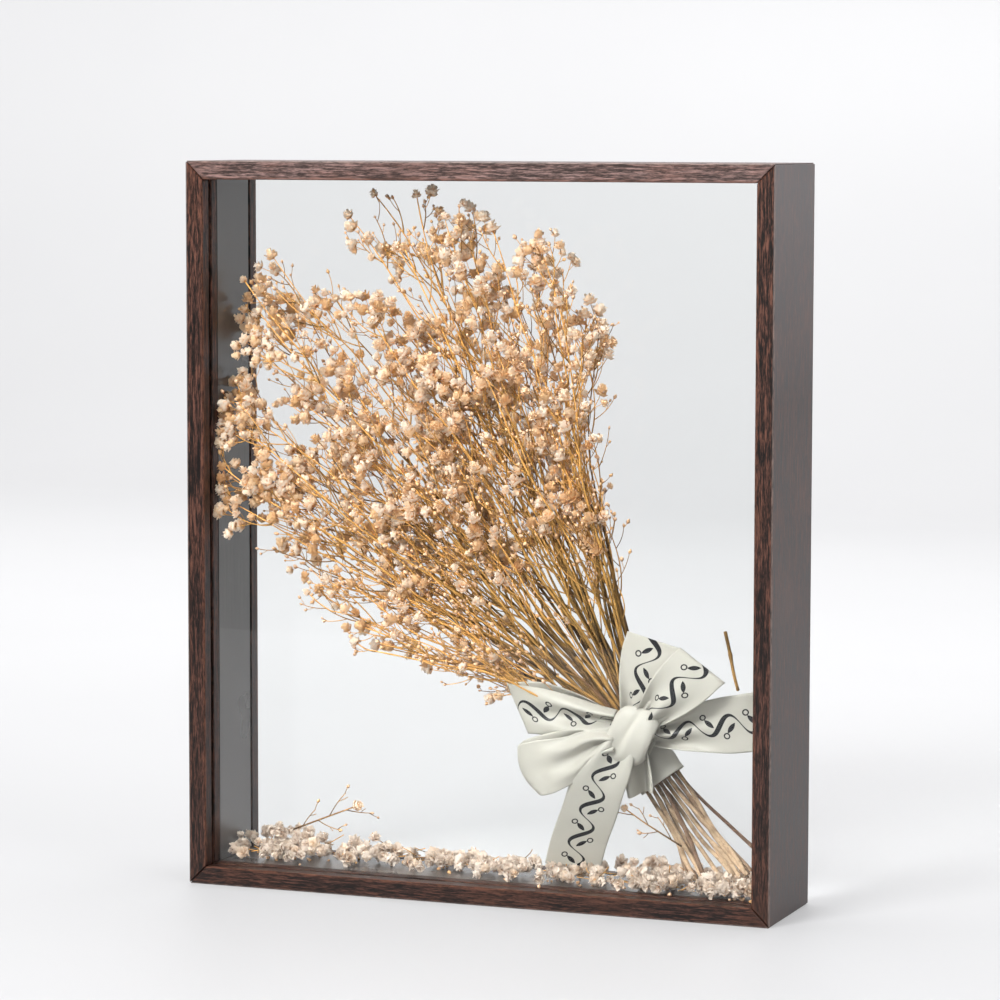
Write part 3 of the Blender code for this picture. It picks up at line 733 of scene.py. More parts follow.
def grow_spray(index, rng, settings):
    """The stalks, twigs, blossoms and buds above one stem's first fork."""
    shares, rows = stem_plan()
    share, row = shares[index], rows[index]
    fan = FAN_MIDDLE - FAN_HALF * shares
    stem = stem_paths(np.random.default_rng(settings.seed))[index]
    angles = fan[index] + np.array([-3.6, -1.8, 0.0, 1.8, 3.6]) + rng.normal(0, 1.4, 5)
    reach = crown_reach(angles) * rng.permutation([0.95, 0.89, 0.78, 0.66, 0.50]) * rng.uniform(0.97, 1.03, 5)
    lone = [sprig for sprig in LONE_SPRIGS if np.argmin(np.abs(fan - sprig[0])) == index]
    angles = np.append(angles, [sprig[0] for sprig in lone])
    reach = np.append(reach, [sprig[1] * 0.95 for sprig in lone])
    number = len(angles)  # of stalks
    depth = np.resize(rng.permutation([-0.0135, -0.0080, -0.0020, 0.0050, 0.0115]), number)
    depth = depth + rng.normal(0, 0.0015, number)
    depth = depth + (0.003 if row else -0.002) - 0.006 * np.clip((angles - 140) / 30, 0, 1)
    tips = FAN_CENTRE + heading(angles) * reach[:, None]
    tips[:, 1] = depth
    tips = keep_inside(tips, 0.003)
    # stalks leave the stem between the tie and its end, and one of them goes on from the end
    starts = stem[rng.integers(13, 22, number)] + rng.normal(0, 0.0007, (number, 3))
    starts[1] = stem[-1]
    leave = unit(heading(angles * 0.75 + BUNDLE_ANGLE * 0.25) + [0, 0.02, 0])
    arrive = heading(angles + rng.normal(0, 10, number) + 3 * share)
    length = np.linalg.norm(tips - starts, axis=1)[:, None]
    stalks = bezier(starts, starts + leave * length * 0.35, tips - arrive * length * 0.3, tips, STALK_POINTS)
    t = np.linspace(0, 1, STALK_POINTS)
    swing = np.sin(t * rng.uniform(9, 15, (number, 1)) + rng.uniform(0, FULL_TURN, (number, 1)))
    sway = swing * np.sin(np.pi * t) * 0.0020
    stalks = inside_edges(keep_inside(stalks + sway[..., None] * heading(angles + 90)[:, None]))

    # branches on the stalks, twigs on the branches, and a pair of stalklets on every end and on the way to it
    main_shares = np.sort(rng.uniform(0.26, 0.98, (number, BRANCHES)), 1)
    reaches = (0.046 * (1 - main_shares) ** 0.8 + 0.014) * rng.uniform(0.6, 1.3, main_shares.shape)
    reaches *= np.clip(length / 0.17, 0.4, 1.0)
    branches = forks(rng, stalks, main_shares, reaches, 32.0, 0.24, 0.45, BRANCH_POINTS)
    branches = within_edges(within_crown(branches))
    kept = np.clip(length[:, 0] / 0.19, 0.3, 1) * np.interp(angles, [152, 172], [1.0, 0.55])
    branches = branches[rng.uniform(0, 1, len(branches)) < np.repeat(kept, BRANCHES)]
    lengths = np.repeat(np.linalg.norm(branches[:, -1] - branches[:, 0], axis=1)[:, None], TWIGS, 1)
    twig_shares = np.tile([0.40, 0.62, 0.80, 0.96], (len(branches), 1)) + rng.uniform(-0.04, 0.04, lengths.shape)
    twig_lengths = 0.30 * lengths * rng.uniform(0.6, 1.2, lengths.shape) + 0.003
    twigs = forks(rng, branches, twig_shares, twig_lengths, 40.0, 0.45, 0.3, TWIG_POINTS)
    ends = np.concatenate([twigs[:, [0, 1, 3, 5]], branches[:, [0, 3, 6, 8]]])
    shares = np.tile([0.60, 0.97], (len(ends), 1))
    reaches = rng.uniform(0.0020, 0.0052, shares.shape)
    stalklets = forks(rng, ends, shares, reaches, 40.0, 0.5, 0.2, STALKLET_POINTS)

    # which ends carry a blossom, which a bud, and which bare twigs are left out
    bloom = rng.choice([0.20, 0.8, 2.6], len(branches), p=[0.40, 0.33, 0.27])
    crowded = np.concatenate([np.repeat(bloom, TWIGS), bloom, np.repeat(bloom, 2 * TWIGS), np.repeat(bloom, 2)])
    tip_curves = np.concatenate([twigs[:, -2:], branches[:, -2:], stalklets[:, -2:]])
    places, ways = tip_curves[:, 1], unit(tip_curves[:, 1] - tip_curves[:, 0])
    out_share = np.linalg.norm((places - FAN_CENTRE)[:, [0, 2]], axis=1) / crown_reach(fan[index])
    likely = np.interp(out_share, [0.22, 0.42, 1.0], [0.02, 0.17, 0.27]) * clumps(places) * crowded * settings.fullness
    draw = rng.uniform(0, 1, len(places))
    opened = draw < likely
    budding = ~opened & (draw < likely + 0.24)
    many, few = len(twigs), len(branches)
    budding[many : many + few] |= ~opened[many : many + few]
    bearing = opened | budding
    small_kept = bearing[many + few :]
    kept = bearing[:many] | small_kept[: 2 * many].reshape(-1, 2).any(1)
    opened[:many], budding[:many] = opened[:many] & kept, (budding | ~opened)[:many] & kept

    heap = Heap()
    radii = np.linspace(0.00078, 0.00025, STALK_POINTS) * knuckles(STALK_POINTS, 7, 0.35, rng, number)
    radii = radii * rng.uniform(0.75, 1.05, (number, 1))
    # painted shade: stalks further back take a darker tint
    tints = np.clip(0.55 + 34 * depth + rng.uniform(-0.28, 0.28, number), 0, 1)
    add_rods(heap, stalks, radii, tints, 6)
    radii = np.linspace(0.00031, 0.00019, BRANCH_POINTS) * knuckles(BRANCH_POINTS, 2, 0.35, rng, few)
    add_rods(heap, branches, radii, rng.uniform(0, 1, few), 5, np.linspace(0.45, 1.0, BRANCH_POINTS))
    for rods, thick, thin, sides, low_rim in (
        (twigs[kept], 0.00019, 0.00015, 4, 0.6),
        (stalklets[small_kept], 0.00016, 0.00013, 3, 0.8),
    ):
        points = rods.shape[1]
        radii = np.broadcast_to(np.linspace(thick, thin, points), (len(rods), points))
        add_rods(heap, rods, radii, rng.uniform(0, 1, len(rods)), sides, np.linspace(low_rim, 1.0, points))
    crest = stalks[:, -1]
    places, ways = np.concatenate([places, crest]), np.concatenate([ways, unit(crest - stalks[:, -2])])
    opened = np.append(opened, np.ones(number, bool))
    budding = np.append(budding, np.zeros(number, bool))
    add_blossoms(heap, rng, places[opened], ways[opened], settings)
    add_buds(heap, rng, places[budding], ways[budding], settings)
    return heap


def within_crown(branches):
    """Branches drawn in about their starts where their tips pass the crown's outline."""
    arm = branches[:, -1] - FAN_CENTRE
    angles = np.degrees(np.arctan2(arm[:, 2], arm[:, 0])) % 360
    past = np.hypot(arm[:, 0], arm[:, 2]) / crown_reach(np.where(angles > 270, 0, angles))
    scale = np.interp(past, [0.97, 1.25], [1.0, 0.35])
    return branches[:, :1] + (branches - branches[:, :1]) * scale[:, None, None]


def past_lower(points):
    """How far points lie below the crown's lower edge."""
    return np.maximum(np.interp(points[..., 0], *zip(*LOWER_EDGE)) - points[..., 2], 0)


def past_right(points):
    """How far points lie to the right of the crown's right edge."""
    return np.maximum(points[..., 0] - np.interp(points[..., 2], *zip(*RIGHT_EDGE)), 0)


def inside_edges(points):
    """Points moved back by most of what they pass the crown's lower edge, then its right edge."""
    points = points.copy()
    points[..., 2] += 0.85 * past_lower(points)
    points[..., 0] -= 0.85 * past_right(points)
    return points


def within_edges(paths):
    """Paths bent back where their tips pass the crown's lower or right edge.

    A point moves by t^1.5 of what the tip does.
    """
    tips = paths[:, -1].copy()
    share = 0.88 * np.linspace(0, 1, paths.shape[1])[None, :] ** 1.5
    paths = paths.copy()
    paths[..., 2] += past_lower(tips)[:, None] * share
    paths[..., 0] -= past_right(tips)[:, None] * share
    return paths


def clumps(places):
    """How crowded the blossoms are at each place, about 1 on average.

    Crossed waves a few centimetres long, times 1 plus a bell, gain exp(-d^2 / width^2), at each thick or thin place.
    """
    x, y, z = places.T
    waves = np.sin(150 * x + 60 * z + 90 * y) + np.sin(170 * z - 80 * x + 1.7) + np.sin(110 * (x + z) - 120 * y + 4.1)
    spots = np.array(THICK_AND_THIN).T[:, :, None]
    bells = spots[3] * np.exp(-((x - spots[0]) ** 2 + (z - spots[1]) ** 2) / spots[2] ** 2)
    return np.clip(1.0 + 0.55 * waves, 0.08, 2.3) * np.maximum(1 + bells.sum(0), 0.1)


def add_blossoms(heap, rng, places, ways, settings, age=1.0):
    """Open blossoms at the given places. The age is how far their tints go."""
    shapes = blossom_shapes(rng)
    sizes = settings.blossom / 2 * rng.uniform(0.62, 1.12, len(places))
    scatter(heap, rng, shapes, places, ways, sizes, age, PETAL_SLOT)


def add_buds(heap, rng, places, ways, settings):
    """Closed buds at the given places."""
    shapes = bud_shapes(rng)
    sizes = settings.blossom * rng.uniform(0.14, 0.26, len(places))
    scatter(heap, rng, shapes, places, ways, sizes, 1, BUD_SLOT)


def scatter(heap, rng, shapes, places, ways, sizes, age, slot):
    """Copies at the given places of shapes drawn at random, each with its own spin and tint."""
    number, kinds = len(places), len(shapes[0])
    which = rng.integers(0, kinds, number)
    spins, tints = rng.uniform(0, FULL_TURN, number), rng.uniform(0, age, number)
    add_copies(heap, shapes, which, places, ways, sizes, spins, tints, slot)


# ---- the fallen blossoms ----
# each bank: node, crest line (x, z), front line (x, y), blossoms, buds, bits of twig, share that strays
BANKS = (
    (
        "fallen_blossoms_left",
        ((-0.124, 0.0215), (-0.115, 0.0235), (-0.095, 0.0235), (-0.070, 0.020), (-0.030, 0.015), (0.017, 0.013)),
        ((-0.124, -0.001), (-0.104, -0.008), (-0.068, 0.002), (-0.043, 0.001), (0.007, -0.005), (0.017, -0.007)),
        220, 40, 70, 0.09,
    ),
    (
        "fallen_blossoms_right",
        ((0.024, 0.012), (0.045, 0.016), (0.068, 0.020), (0.085, 0.016), (0.110, 0.018), (0.124, 0.022)),
        ((0.024, -0.012), (0.052, -0.012), (0.075, -0.014), (0.115, -0.017), (0.124, -0.017)),
        210, 30, 60, 0.05,
    ),
)
LOOSE_STEM = (
    (0.1078, -0.0130, 0.1208), (0.1100, -0.0132, 0.1120), (0.1118, -0.0131, 0.1030), (0.1136, -0.0130, 0.0965),
)
# each twig: node, route and how far its side twigs reach
LOOSE_TWIGS = (
    ("loose_twig_left", ((-0.0985, 0.006, 0.0200), (-0.0850, 0.006, 0.0256), (-0.0680, 0.006, 0.0325)), 0.011),
    (
        "loose_twig_right",
        ((0.0860, -0.003, 0.0270), (0.0766, -0.004, 0.0325), (0.0700, -0.005, 0.0365), (0.0623, -0.006, 0.0417)),
        0.009,
    ),
)


def grow_bank(rng, settings, node, crest, front, number, buds, bits, strays):
    """Blossoms, buds and bits of twig piled on the floor between a bank's ends, up to its crest line.

    A share of the blossoms strays on to the floor in front of the front line.
    """
    low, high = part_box(node)
    start, end = low.x, high.x
    heap = Heap()
    groups = rng.uniform(start + 0.001, end - 0.001, number // 6)
    xs = groups[rng.integers(0, len(groups), number)] + rng.normal(0, 0.0065, number)
    xs = np.clip(xs, start + 0.002, end - 0.001)
    edge = np.interp(xs, *zip(*front)) + 0.0015 * np.sin(xs * 900) + 0.001 * np.sin(xs * 2100)
    strayed = rng.uniform(0, 1, number) < strays
    depth = np.where(strayed, -rng.uniform(0.15, 0.55, number), rng.uniform(0, 1, number) ** 1.2)
    ys = edge + (PANE_REAR - 0.003 - edge) * depth
    top = np.interp(xs, *zip(*crest)) + 0.0016 * np.sin(xs * 700 + 2) + 0.0012 * np.sin(xs * 1900)
    lift = rng.uniform(0, 1, number) ** 1.2 * (top - FLOOR - 0.0045) * np.clip(depth * 6 + 0.15, 0, 1)
    places = np.stack([xs, ys, FLOOR + 0.0012 + lift], -1)
    ways = unit(rng.normal(0, 1, (number, 3)) + [0, -0.6, 0.7])
    add_blossoms(heap, rng, keep_inside(places, 0.0028), ways, settings, age=0.45)
    xs = rng.uniform(start + 0.002, end - 0.001, buds)
    edge = np.interp(xs, *zip(*front))
    ys = edge + rng.normal(0, 0.004, buds) + rng.uniform(-0.002, 0.02, buds)
    spots = np.stack([xs, np.clip(ys, PANE_FRONT + 0.002, PANE_REAR - 0.002), np.full(buds, FLOOR + 0.0006)], -1)
    add_buds(heap, rng, spots, unit(rng.normal(0, 1, (buds, 3)) * [1, 1, 0.2]), settings)
    xs = rng.uniform(start + 0.006, end - 0.006, bits)
    edge = np.interp(xs, *zip(*front))
    roots = np.stack([xs, edge + rng.uniform(0.002, 0.018, bits), FLOOR + rng.uniform(0.0008, 0.006, bits)], -1)
    ways = unit(rng.normal(0, 1, (bits, 3)) * [1, 0.6, 0.16] + [0, 0, 0.04])
    t = np.linspace(0, 1, 5)[None, :, None]
    sag = rng.normal(0, 0.15, (bits, 1, 3))
    curves = roots[:, None] + rng.uniform(0.004, 0.013, (bits, 1, 1)) * (t * ways[:, None] + t**2 * sag)
    curves = keep_inside(curves, 0.0008)
    add_rods(heap, curves, np.full((bits, 5), 0.0002), rng.uniform(0, 1, bits), 4)
    return heap


# ---- the ribbon ----
KNOT = np.array([0.0668, -0.0127, 0.0746])


def ribbon_sheet(stations, width, rows=72, columns=33, waves=2.0, phase=0.4):
    """A ribbon through stations of (x, y, z, half width, lean, bulge, fold).

    The width runs at the lean angle in the upright plane, and the middle of it is pushed out from the knot by the
    bulge. Where the fold is 1 the ribbon is gathered: pleats of depth a cos(waves pi t + phase) take up its width.
    """
    line = smooth_rows(stations, rows)
    centre, half, lean, bulge, fold = line[:, :3], line[:, 3], line[:, 4], line[:, 5], line[:, 6]
    width_way = heading(lean)
    ahead = unit(np.gradient(centre, axis=0))
    normal = unit(np.cross(ahead, width_way))
    t = np.linspace(-1, 1, columns)
    steep = 1.5 * np.sqrt(np.maximum((width / (2 * half)) ** 2 - 1, 0))
    height = fold * steep * half / (waves * np.pi)
    depth = height[:, None] * np.cos(waves * np.pi * t + phase)[None]
    spread = (half[:, None] * t[None])[..., None] * width_way[:, None]
    points = centre[:, None] + spread + depth[..., None] * normal[:, None]
    outward = unit((centre - KNOT) * [1, 0, 1])[:, None]
    points = points + (bulge[:, None] * (1 - t**2)[None])[..., None] * outward
    return points, length_of(centre)


def nearly_round(rows):
    """Angles once round a band, as a column, with a narrow gap at the back where its ends meet."""
    return np.radians(np.linspace(-178, 178, rows))[:, None]


def knot_sheet(rows=72, columns=33):
    """The band that closes the knot, round a flattened barrel whose ends draw in, with one slanting fold.

    Point = centre + t half width across + (1 - 0.4 t^4) (height sin a up - depth cos a back), a going once round. The
    depth dips by a bell and steps up by a tanh where t + 0.14 - 0.3 sin a passes zero, so one side laps the other.
    """
    turn = nearly_round(rows)
    t = np.linspace(-1, 1, columns)[None, :]
    end = 1 - 0.40 * t**4
    fold = t + 0.14 - 0.30 * np.sin(turn)
    draw = end - 0.25 * np.exp(-((fold / 0.16) ** 2)) + 0.045 * np.cos(7.5 * t + 0.8 * turn)
    lap = 0.0009 * np.tanh(fold / 0.12)
    lean = math.radians(-14)
    across = np.array([math.cos(lean), 0, math.sin(lean)])
    up = np.array([-math.sin(lean), 0, math.cos(lean)])
    sideways = 0.0097 * t + 0.0012 * np.sin(turn)
    height, depth = 0.0126 * end * np.sin(turn), (0.0047 * draw + lap) * np.cos(turn)
    points = KNOT + sideways[..., None] * across + height[..., None] * up - depth[..., None] * [0, 1, 0]
    return points, length_of(points[:, columns // 2])


def wrap_sheet(width, rows=72, columns=25):
    """The band round the stems below the knot: an oval ring round the bundle that flares a little at its lower edge."""
    turn = nearly_round(rows)
    t = np.linspace(-1, 1, columns)[None, :]
    along = heading(BUNDLE_ANGLE)
    across = -np.cross(along, [0.0, 1.0, 0.0])
    flare = 1 + 0.10 * np.maximum(-t, 0) ** 2 + 0.030 * np.cos(6.5 * t + 1.5 * turn) + 0.02 * np.cos(3 * turn + 2 * t)
    sideways, depth = 0.0104 * flare * np.sin(turn), 0.0059 * flare * np.cos(turn)
    centre = TIE - along * 0.010 + np.array([0, 0.0041, 0])
    points = centre + (t * width / 2)[..., None] * along + sideways[..., None] * across - depth[..., None] * [0, 1, 0]
    return points, length_of(points[:, columns // 2])


def add_ribbon_piece(name, points, run, settings, printed, shift, rests_on):
    """Turns a grid of points into a ribbon piece with its own map and thickness.

    The printed side is the one that faces forwards where the piece leaves the knot.
    """
    rows, columns, _ = points.shape
    quads = grid_quads(rows, columns)
    facing = np.cross(points[: rows // 3, -1] - points[: rows // 3, 0], np.gradient(points[: rows // 3, 0], axis=0))
    if facing[:, 1].mean() > 0 and name not in ("satin_knot", "satin_wrap"):
        quads = quads[:, ::-1]
    mesh = mesh_of(name, points.reshape(-1, 3), quads, NO_TRIS)
    across = np.tile(np.linspace(-0.5, 0.5, columns), rows)
    along = np.repeat(run / settings.ribbon_width + shift, columns)
    uv = np.stack([along, across], -1)
    layer = mesh.uv_layers.new(name="ribbon")
    corners = np.empty(len(mesh.loops), np.int32)
    mesh.loops.foreach_get("vertex_index", corners)
    layer.data.foreach_set("uv", uv[corners].astype(np.float32).ravel())
    looks = [satin_finish(settings, side) for side in (printed, False)]
    piece = add_piece(name, mesh, looks, name.replace("satin_", "ribbon_"))
    wall = piece.modifiers.new("thickness", "SOLIDIFY")
    wall.thickness = settings.thickness
    wall.offset = 0.0
    wall.material_offset = 1
    wall.material_offset_rim = 1
    return piece


def satin_finish(settings, printed):
    """The satin of the printed side or of the plain one."""
    return made_once("cream satin with scroll" if printed else "cream satin", satin, settings, printed)


# ---- settings ----
def colour(name, default, description):
    """A colour property."""
    return bpy.props.FloatVectorProperty(
        name=name, description=description, default=default, size=3, min=0, max=1, subtype="COLOR"
    )


def length(name, default, description, low, high):
    """A length property, in metres."""
    return bpy.props.FloatProperty(
        name=name, description=description, default=default, min=low, max=high, unit="LENGTH", precision=5
    )


class FrameLooks(bpy.types.PropertyGroup):
    """Colours of the rails, the linings and the panes"""

    wood_dark: colour("Wood, dark streaks", (0.0050, 0.0020, 0.0014), "The darkest streaks")
    wood_pale: colour("Wood, pale streaks", (0.165, 0.066, 0.044), "The palest streaks")
    # the warm colour also paints the highlight along the lip's edges
    wood_red: colour("Wood, warm streaks", (0.170, 0.064, 0.036), "The reddish streaks")
    # the top rail's wood, painted paler and mauve as painted light from above
    top_lit_dark: colour("Faded wood, dark streaks", (0.034, 0.019, 0.016), "The darkest streaks of the top rail")
    top_lit_pale: colour("Faded wood, pale streaks", (0.340, 0.215, 0.195), "The palest streaks of the top rail")
    top_lit_red: colour("Faded wood, warm streaks", (0.260, 0.120, 0.090), "The reddish streaks of the top rail")
    # the grey painted sheen on the outer sides
    wood_side_sheen: colour("Wood, film", (0.32, 0.31, 0.32), "The grey film on the outer sides")
    wood_edge: colour("Wood, eased edge", (0.30, 0.23, 0.20), "Where the stain has worn from the edges")
    lining_dark: colour("Lining, dark", (0.021, 0.0165, 0.0150), "The dark of the lining's brushing")
    lining_pale: colour("Lining, pale", (0.045, 0.036, 0.033), "The pale of the lining's brushing")
    # faint dust, and the painted reflection towards the linings' ends
    lining_dust_and_reflection: colour("Lining, dust", (0.095, 0.088, 0.085), "A faint film of dust on the linings")
    glass_tint: colour("Glass tint", (0.955, 0.962, 0.960), "What the panes let through")
    glass_dust: colour("Glass dust", (0.88, 0.90, 0.88), "The faint dust on the panes")


class BouquetLooks(bpy.types.PropertyGroup):
    """Sizes and colours of the bouquet and of what has fallen from it"""

    seed: bpy.props.IntProperty(name="Seed", description="Which bouquet grows", default=11, min=0)
    fullness: bpy.props.FloatProperty(
        name="Fullness", description="How many twig ends carry a blossom", default=1.0, min=0, max=2, subtype="FACTOR"
    )
    blossom: length("Blossom width", 0.0054, "Width of an open blossom", 0.001, 0.02)
    stem_radius: length("Stem radius", 0.00092, "Radius of a cut stem", 0.0003, 0.003)
    # near the tie the stalks are darker than their own colour: partly painted shade between the crowded stalks
    stalk_low: colour("Stalk, low", (0.060, 0.033, 0.009), "Stalks near the tie")
    stalk_mid: colour("Stalk, middle", (0.43, 0.232, 0.058), "Stalks half way up")
    stalk_high: colour("Stalk, high", (0.74, 0.38, 0.105), "The finest twigs")
    # stalks that dried darker, and the painted shade of the stalks at the back
    stalk_odd_and_shade: colour("Stalk, other", (0.045, 0.020, 0.008), "Stalks that dried differently")
    stalk_fleck: colour("Stalk, flecks", (0.10, 0.040, 0.012), "Flecks and nodes")
    cut_low: colour("Cut stem, foot", (0.60, 0.435, 0.285), "Cut stems at their feet")
    cut_odd: colour("Cut stem, other", (0.085, 0.040, 0.026), "Cut stems that dried purple-brown")
    # the tan calyx, darkened as painted shade deep in the blossom
    petal_heart: colour("Petal heart", (0.46, 0.18, 0.040), "Petals at the calyx")
    petal_mid: colour("Petal middle", (0.95, 0.63, 0.35), "Petals half way out")
    petal_pale: colour("Petal rim", (0.98, 0.86, 0.72), "Petals at the rim")
    # the tan calyx, darkened as painted shade deep in the fallen blossom
    fallen_heart: colour("Fallen petal heart", (0.50, 0.32, 0.20), "Fallen petals at the calyx")
    fallen_mid: colour("Fallen petal middle", (0.68, 0.545, 0.43), "Fallen petals half way out")
    fallen_pale: colour("Fallen petal rim", (0.86, 0.755, 0.655), "Fallen petals at the rim")
    petal_peach: colour("Petal, peach", (0.96, 0.68, 0.38), "Blossoms that dried peach")
    bud_low: colour("Bud, foot", (0.48, 0.27, 0.14), "Closed buds at their feet")
    bud_tip: colour("Bud, tip", (0.68, 0.45, 0.29), "Closed buds at their tips")
    petal_old: colour("Petal, old", (0.70, 0.40, 0.16), "Blossoms that dried darker")


class RibbonLooks(bpy.types.PropertyGroup):
    """Sizes and colours of the ribbon"""

    ribbon_width: length("Ribbon width", 0.025, "Width of the ribbon as cut", 0.005, 0.08)
    thickness: length("Ribbon thickness", 0.00028, "Thickness of the satin", 0.0001, 0.002)
    satin_pale: colour("Satin, pale", (0.570, 0.553, 0.492), "The satin in full light")
    satin_shade: colour("Satin, shade", (0.515, 0.500, 0.440), "The satin between its warp lines")
    satin_edge: colour("Satin, selvedge", (0.550, 0.535, 0.470), "The woven edge")
    ink: colour("Ink", (0.006, 0.006, 0.008), "The printed scroll")


# ---- operators ----
def finish_node(name, material):
    """Gives a node of the frame its material."""
    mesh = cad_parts[name].data
    mesh.materials.clear()
    mesh.materials.append(material)


def made_once(name, make, *values):
    """A finish, made when it is first asked for."""
    return bpy.data.materials.get(name) or make(name, *values)


class FLOWERFRAME_OT_joinery(bpy.types.Operator):
    """Finish the rails, the rear strips and the linings"""

    bl_idname = "flowerframe.joinery"
    bl_label = "Rails and linings"

    def execute(self, context):
        settings = context.scene.frame_looks
        linings = {run: lacquered_lining(f"lacquered lining along {run}", run, settings) for run in "XZ"}
        # the top rail takes the copy of the wood painted paler as light from above
        for run, sides, faded in (("X", ("top",), True), ("X", ("bottom",), False), ("Z", ("left", "right"), False)):
            wood = stained_wood(f"{'faded' if faded else 'stained'} wood along {run}", run, settings, faded)
            for side in sides:
                for kind, finish in (("rail", wood), ("rear_bead", wood), ("liner", linings[run])):
                    finish_node(f"{kind}_{side}", finish)
        return {"FINISHED"}


class FLOWERFRAME_OT_panes(bpy.types.Operator):
    """Finish the two glass panes"""

    bl_idname = "flowerframe.panes"
    bl_label = "Panes"

    def execute(self, context):
        glass = pane_glass("clear pane glass", context.scene.frame_looks)
        for name in ("glass_front", "glass_rear"):
            finish_node(name, glass)
        return {"FINISHED"}


def bouquet_finishes(s, fallen=False):
    """The stalk, petal and bud finishes. Fallen petals have gone paler and greyer."""
    stalk = (s.stalk_low, s.stalk_high, s.stalk_mid, s.stalk_odd_and_shade, s.stalk_fleck)
    petals = ("dry petals", s.petal_heart, s.petal_mid, s.petal_pale)
    if fallen:
        petals = ("fallen petals", s.fallen_heart, s.fallen_mid, s.fallen_pale)
    return [
        made_once("dry stalks", dry_stalk, stalk),
        made_once(petals[0], dry_petals, s, *petals[1:]),
        made_once("dry buds", dry_stalk, (s.bud_low, s.bud_tip, s.bud_tip, s.petal_old, s.bud_low), 0.85),
    ]


class FLOWERFRAME_OT_stems(bpy.types.Operator):
    """Grow the cut stems from their feet to their first forks"""

    bl_idname = "flowerframe.stems"
    bl_label = "Stems"

    def execute(self, context):
        s = context.scene.bouquet_looks
        # stalk_low darkens the stems at the tie, partly as painted shade
        finish = dry_stalk("cut stems", (s.cut_low, s.stalk_mid, s.stalk_low, s.cut_odd, s.stalk_fleck))
        rng = np.random.default_rng(s.seed)
        paths = stem_paths(np.random.default_rng(s.seed))
        shares, _ = stem_plan()
        taper = np.interp(np.linspace(0, 1, STEM_POINTS), [0, 0.8, 1], [1.10, 0.76, 0.42])
        radii = taper * s.stem_radius * knuckles(STEM_POINTS, 3, 0.25, rng, len(paths))
        radii *= rng.uniform(0.8, 1.12, (len(paths), 1))
        for index, name in enumerate(STEMS):
            heap = Heap()
            tint = np.clip(0.44 + 0.15 * shares[index] + rng.uniform(-0.55, 0.65), 0, 1)
            add_rods(heap, paths[index : index + 1], radii[index : index + 1], tint, 10)
            add_heap(heap, "cut_", name, [finish])
        return {"FINISHED"}


class FLOWERFRAME_OT_sprays(bpy.types.Operator):
    """Grow the branching heads of blossom"""

    bl_idname = "flowerframe.sprays"
    bl_label = "Sprays"

    def execute(self, context):
        s = context.scene.bouquet_looks
        for index, name in enumerate(SPRAYS):
            heap = grow_spray(index, np.random.default_rng(s.seed * 100 + index), s)
            add_heap(heap, "blossom_", name, bouquet_finishes(s))
        return {"FINISHED"}


class FLOWERFRAME_OT_fallen(bpy.types.Operator):
    """Scatter the fallen blossoms, the loose stem and the loose twigs"""

    bl_idname = "flowerframe.fallen"
    bl_label = "Fallen pieces"

    def execute(self, context):
        s = context.scene.bouquet_looks
        looks = bouquet_finishes(s, fallen=True)
        for number, (node, *plan) in enumerate(BANKS, 1):
            heap = grow_bank(np.random.default_rng(s.seed + number), s, node, *plan)
            add_heap(heap, "heap_", node, looks)
        self.loose(s, bouquet_finishes(s))
        return {"FINISHED"}

    def loose(self, s, looks):
        """The short cut stem behind the bow, and the two forked twigs that stand out of the banks."""
        rng = np.random.default_rng(s.seed + 3)
        heap = Heap()
        points = 16
        radius = np.linspace(0.00078, 0.00068, points)[None] * knuckles(points, 1.6, 0.4, rng, 1)
        add_rods(heap, smooth_rows(LOOSE_STEM, points)[None], radius, 0.2, 10, np.linspace(0.10, 0.34, points))
        add_heap(heap, "cut_", "loose_stem", looks)
        for name, route, reach in LOOSE_TWIGS:
            heap = Heap()
            stalk = smooth_rows(route, 14)[None]
            shares = np.array([[0.18, 0.42, 0.60, 0.86]])
            twigs = forks(rng, stalk, shares, reach * rng.uniform(0.7, 1.3, shares.shape), 42.0, 0.3, 0.2, TWIG_POINTS)
            shares = np.tile([0.6, 0.95], (len(twigs), 1))
            small = forks(rng, twigs, shares, rng.uniform(0.002, 0.005, shares.shape), 40.0, 0.4, 0.2, STALKLET_POINTS)
            add_rods(heap, stalk, np.linspace(0.00042, 0.00028, 14)[None], 0.8, 6)
            add_rods(heap, twigs, np.tile(np.linspace(0.00024, 0.00018, TWIG_POINTS), (len(twigs), 1)), 0.7, 5)
            add_rods(heap, small, np.full(small.shape[:2], 0.00016), 0.7, 4)
            ends = np.concatenate([stalk[:, -2:], twigs[:, -2:], small[:, -2:]])
            ways = unit(ends[:, 1] - ends[:, 0])
            add_blossoms(heap, rng, ends[:1, 1], ways[:1], s)
            add_buds(heap, rng, ends[2::2, 1], ways[2::2], s)
            add_heap(heap, "forked_", name, looks)


class FLOWERFRAME_OT_ribbon(bpy.types.Operator):
    """Tie the ribbon: the wrap, the knot, four loops and three ends"""

    bl_idname = "flowerframe.ribbon"
    bl_label = "Ribbon"

    def execute(self, context):
        s = context.scene.ribbon_looks
        add_ribbon_piece("satin_wrap", *wrap_sheet(s.ribbon_width), s, True, 0.1, STEMS)
        add_ribbon_piece("satin_knot", *knot_sheet(), s, False, 0.0, ["satin_wrap"])
        for name, printed, shift, pleats, stations in RIBBONS:
            points, run = ribbon_sheet(stations, s.ribbon_width, waves=pleats)
            add_ribbon_piece(name, points, run, s, printed, shift, ["satin_knot"])
        return {"FINISHED"}


